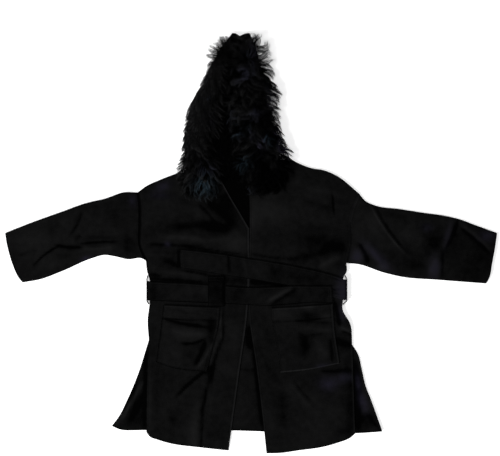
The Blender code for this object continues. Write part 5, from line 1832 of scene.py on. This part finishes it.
def grow(name, source, tree, values):
    """The plain mesh that the tree makes on the source object."""
    carrier = bpy.data.objects.new(name, source.data.copy())
    bpy.context.scene.collection.objects.link(carrier)
    modifier = carrier.modifiers.new("grow", "NODES")
    modifier.node_group = tree
    for socket in tree.interface.items_tree:
        if socket.in_out == "INPUT" and socket.name in values:
            modifier[socket.identifier] = values[socket.name]
    graph = bpy.context.evaluated_depsgraph_get()
    mesh = bpy.data.meshes.new_from_object(carrier.evaluated_get(graph))
    carrier.modifiers.remove(modifier)
    old, carrier.data = carrier.data, mesh
    bpy.data.meshes.remove(old)
    if not len(mesh.polygons):
        raise RuntimeError(f"{name} grew nothing")
    for key in [layer.name for layer in mesh.attributes if layer.name in STRAY_MARKS]:
        mesh.attributes.remove(mesh.attributes[key])
    mesh.name = name
    return carrier


def band_of(skin, low, high, name):
    """A copy of a skin whose fur grows only between two heights of the plan."""
    part = bpy.data.objects.new(name, skin.data.copy())
    layer = part.data.attributes["furred"].data
    co = np.empty(len(part.data.vertices) * 3, np.float32)
    part.data.vertices.foreach_get("co", co)
    y = co.reshape(-1, 3)[:, 1] / MM
    furred = np.empty(len(y), np.float32)
    layer.foreach_get("value", furred)
    layer.foreach_set("value", furred * ((y >= low) & (y < high)))
    return part


def stitch_carrier(paths):
    """A mesh of edges only, along each path of points in millimetres."""
    mesh = bpy.data.meshes.new("stitch_paths")
    starts = np.cumsum([0] + [len(path) for path in paths])
    pairs = [(i, i + 1) for a, b in zip(starts[:-1], starts[1:]) for i in range(a, b - 1)]
    mesh.from_pydata((np.concatenate(paths) * MM).tolist(), pairs, [])
    return bpy.data.objects.new("stitch_paths", mesh)


def on_grid(plan, us, vs):
    """Plan points at the given shares across and down a grid."""
    down, across = (np.linspace(0, 1, count) for count in plan.shape[:2])
    found = []
    for u, v in zip(us, vs):
        column = [[np.interp(u, across, row[:, k]) for row in plan] for k in (0, 1)]
        found.append([np.interp(v, down, values) for values in column])
    return np.array(found)


def pocket_stitch_paths(side, wall):
    """The seam along the sides and the foot of a pocket, and the one across its hem."""
    plan = pocket_plan(side, POCKET_FINER)
    wide, tall = np.linalg.norm(plan[0, -1] - plan[0, 0]), np.linalg.norm(plan[-1, 0] - plan[0, 0])
    u, v = POCKET_STITCH_INSET / wide, POCKET_STITCH_INSET / tall
    steps = np.linspace(0.0, 1.0, POCKET_SEAM_POINTS)
    still = np.ones(POCKET_SEAM_POINTS)
    down = POCKET_SEAM_START + steps * (1 - POCKET_SEAM_START - v)
    up = 1 - v - steps * (1 - POCKET_SEAM_START - v)
    along = u + steps * (1 - 2 * u)
    sides = (on_grid(plan, u * still, down), on_grid(plan, along, (1 - v) * still))
    around = np.concatenate([*sides, on_grid(plan, (1 - u) * still, up)])
    hem = on_grid(plan, along, (POCKET_HEM_DEPTH - POCKET_HEM_SEAM) / tall * still)
    made = []
    for path in (around, hem):
        _, over, _ = pocket_heights(side, path, distance_to(path, outline_of(plan)[::2]), wall)
        made.append(np.column_stack([path, over + STITCH_CLEAR]))
    return made


def belt_stitch_paths(side, wall):
    """The seams along both edges and the end of a belt stretch."""
    plan, _, over, _, width = belt_flat(side, wall)
    shares = belt_shares(width)
    top = np.dstack([plan, over + STITCH_CLEAR])
    stop = -max(2, int(BELT_STITCH_INSET * BELT_SPANS / BELT_REACH))

    def seam(at):
        line = np.stack([[np.interp(at, shares, row[:, k]) for k in range(3)] for row in top])
        return line[1:stop]

    share = BELT_STITCH_INSET / width
    upper, lower = seam(share), seam(1.0 - share)
    across = np.linspace(upper[-1], lower[-1], BELT_SEAM_POINTS)
    return [np.concatenate([upper, across[1:-1], lower[::-1]])]


def loop_stitch_paths():
    """The box of stitches at the top of the front loop."""
    low, high = FRONT_LOOP_X[0] + LOOP_STITCH_INSET, FRONT_LOOP_X[1] - LOOP_STITCH_INSET
    start = FRONT_LOOP_Y[0] - LOOP_STITCH_INSET
    end = FRONT_LOOP_Y[0] - LOOP_STITCHED + LOOP_SEAM_FOOT
    corners = np.array(((low, start), (high, start), (high, end), (low, end), (low, start)))
    return [np.column_stack([corners, np.full(5, BELT_UNDER + LOOP + STITCH_CLEAR)])]


class COAT_OT_stage(bpy.types.Operator):
    """Make the camera, the lights and the pale floor"""

    bl_idname = "coat.make_stage"
    bl_label = "Make Stage"

    def execute(self, context):
        stage, scene = context.scene.coat_stage, context.scene
        lens = bpy.data.cameras.new("camera")
        lens.sensor_width = SENSOR_WIDTH
        lens.lens = lens.sensor_width * stage.view_height / stage.view_width
        camera = bpy.data.objects.new("camera", lens)
        camera.location = (*CAMERA_OVER, stage.view_height)
        scene.collection.objects.link(camera)
        scene.camera = camera
        scene.view_settings.view_transform = "Standard"
        scene.view_settings.look = "None"
        floor = bpy.data.meshes.new("floor_mesh")
        corners = [(x * FLOOR_REACH, y * FLOOR_REACH, 0.0) for x, y in ((-1, -1), (1, -1), (1, 1), (-1, 1))]
        floor.from_pydata(corners, [], [(0, 1, 2, 3)])
        floor.materials.append(floor_material())
        ground = bpy.data.objects.new("floor", floor)
        ground.location.z = -FLOOR_SINK
        scene.collection.objects.link(ground)
        for name, place, size in LAMPS:
            self.add_light(scene, name, getattr(stage, f"{name}_power"), place, size)
        world = bpy.data.worlds.new("studio")
        world.use_nodes = True
        world.node_tree.nodes["Background"].inputs["Color"].default_value = opaque(WHITE)
        world.node_tree.nodes["Background"].inputs["Strength"].default_value = stage.sky
        scene.world = world
        return {"FINISHED"}

    @staticmethod
    def add_light(scene, name, power, place, size):
        """A round lamp at the given place, which looks at the middle of the floor."""
        lamp = bpy.data.lights.new(name, "AREA")
        lamp.energy = power
        lamp.shape = "DISK"
        lamp.size = size
        light = bpy.data.objects.new(name, lamp)
        light.location = place
        x, y, z = place
        light.rotation_euler = (math.atan2(math.hypot(x, y), z), 0.0, math.atan2(x, -y))
        scene.collection.objects.link(light)


class COAT_OT_panels(bpy.types.Operator):
    """Make the back, the two fronts, the sleeves and the pockets"""

    bl_idname = "coat.make_panels"
    bl_label = "Make Wool Panels"

    def execute(self, context):
        cloth, colours = context.scene.coat_cloth, context.scene.coat_colours
        wool = wool_material("felted_wool_black", colours)
        build_back(cloth, wool)
        for side in SIDES:
            build_front(side, cloth, wool)
            build_sleeve(side, cloth, wool)
            build_pocket(side, cloth, wool)
        return {"FINISHED"}


class COAT_OT_belt(bpy.types.Operator):
    """Make the tie belt and its three loops"""

    bl_idname = "coat.make_belt"
    bl_label = "Make Belt and Loops"

    def execute(self, context):
        cloth, colours = context.scene.coat_cloth, context.scene.coat_colours
        wool = wool_material("felted_wool_black", colours)
        band = wool_material("belt_wool_black", colours, -0.02, 0.5)
        for side in SIDES:
            build_belt_end(side, cloth, band)
        build_belt_back(cloth, band)
        build_front_loop(wool)
        for side in SIDES:
            build_side_loop(side, wool)
        return {"FINISHED"}


class COAT_OT_hood(bpy.types.Operator):
    """Make the hood's skins, its lining and the fur that grows on them"""

    bl_idname = "coat.make_hood"
    bl_label = "Make Fur Hood"

    def execute(self, context):
        fur, colours = context.scene.coat_fur, context.scene.coat_colours
        skin_look = skin_material("fur_skin", colours)
        tree = fur_tree("grow_fur", fur_material("long_black_fur", colours))
        values = {
            "Strands": float(fur.strands), "Width": fur.width, "Gathering": fur.gather, "Seed": fur.seed,
        }
        for side in SIDES:
            skin, plan = build_skin(side, skin_look)
            values["Locks"] = float(fur.locks) * GROWTHS[side].locks
            for part, low, high in FUR_BANDS:
                name = f"fur_{side}_{part}"
                source = band_of(skin, low, high, "source_" + name)
                self.add_fur(name, source, tree, values)
                bpy.data.objects.remove(source)
            declare(skin, f"hood_fur_{side}", plan)
        lining, plan = build_hood_back(skin_look)
        values["Strands"] *= LINING_STRANDS
        pile = self.add_fur("fur_lining", lining, tree, values)
        declare(lining, "hood_back", plan)
        return {"FINISHED"}

    @staticmethod
    def add_fur(name, source, tree, values):
        """Grows a piece of fur with the next seed."""
        values["Seed"] += 1
        piece = grow(name, source, tree, values)
        enlist(piece)
        return piece


class COAT_OT_stitching(bpy.types.Operator):
    """Sew the rows of stitches on the pockets, the belt and the front loop"""

    bl_idname = "coat.make_stitching"
    bl_label = "Sew Stitching"

    def execute(self, context):
        cloth, colours = context.scene.coat_cloth, context.scene.coat_colours
        tree = stitch_tree("sew_stitches", thread_material("black_thread", colours))
        values = {"Pitch": cloth.stitch_pitch, "Length": cloth.stitch_length, "Thread": cloth.thread}
        seams = {f"stitches_pocket_{side}": pocket_stitch_paths(side, cloth.wall / MM) for side in SIDES}
        for side in SIDES:
            name = f"stitches_belt_{BELT_ENDS[side].key}"
            seams[name] = belt_stitch_paths(side, cloth.belt_wall / MM)
        seams["stitches_loop_front"] = loop_stitch_paths()
        for name, paths in seams.items():
            source = stitch_carrier(paths)
            piece = grow(name, source, tree, values)
            bpy.data.objects.remove(source)
            enlist(piece)
        return {"FINISHED"}


class COAT_PT_panel(bpy.types.Panel):
    """Lists the coat's sizes, colours and makers"""

    bl_label = "Hooded Belted Coat"
    bl_idname = "COAT_PT_panel"
    bl_space_type = "VIEW_3D"
    bl_region_type = "UI"
    bl_category = "Coat"

    def draw(self, context):
        for key in GROUPS:
            group = getattr(context.scene, key)
            box = self.layout.box()
            for name in group.__annotations__:
                box.prop(group, name)
        for maker in MAKERS:
            self.layout.operator(maker.bl_idname)


GROUPS = {"coat_cloth": CoatCloth, "coat_fur": CoatFur, "coat_colours": CoatColours, "coat_stage": CoatStage}
MAKERS = (COAT_OT_stage, COAT_OT_panels, COAT_OT_belt, COAT_OT_hood, COAT_OT_stitching)


def register():
    for kind in (*GROUPS.values(), *MAKERS, COAT_PT_panel):
        bpy.utils.register_class(kind)
    for name, kind in GROUPS.items():
        setattr(bpy.types.Scene, name, PointerProperty(type=kind))


def unregister():
    for name in GROUPS:
        delattr(bpy.types.Scene, name)
    for kind in (COAT_PT_panel, *MAKERS[::-1], *list(GROUPS.values())[::-1]):
        bpy.utils.unregister_class(kind)


def main():
    register()
    bpy.ops.coat.make_stage()
    bpy.ops.coat.make_panels()
    bpy.ops.coat.make_belt()
    bpy.ops.coat.make_hood()
    bpy.ops.coat.make_stitching()


if __name__ == "__main__":
    main()
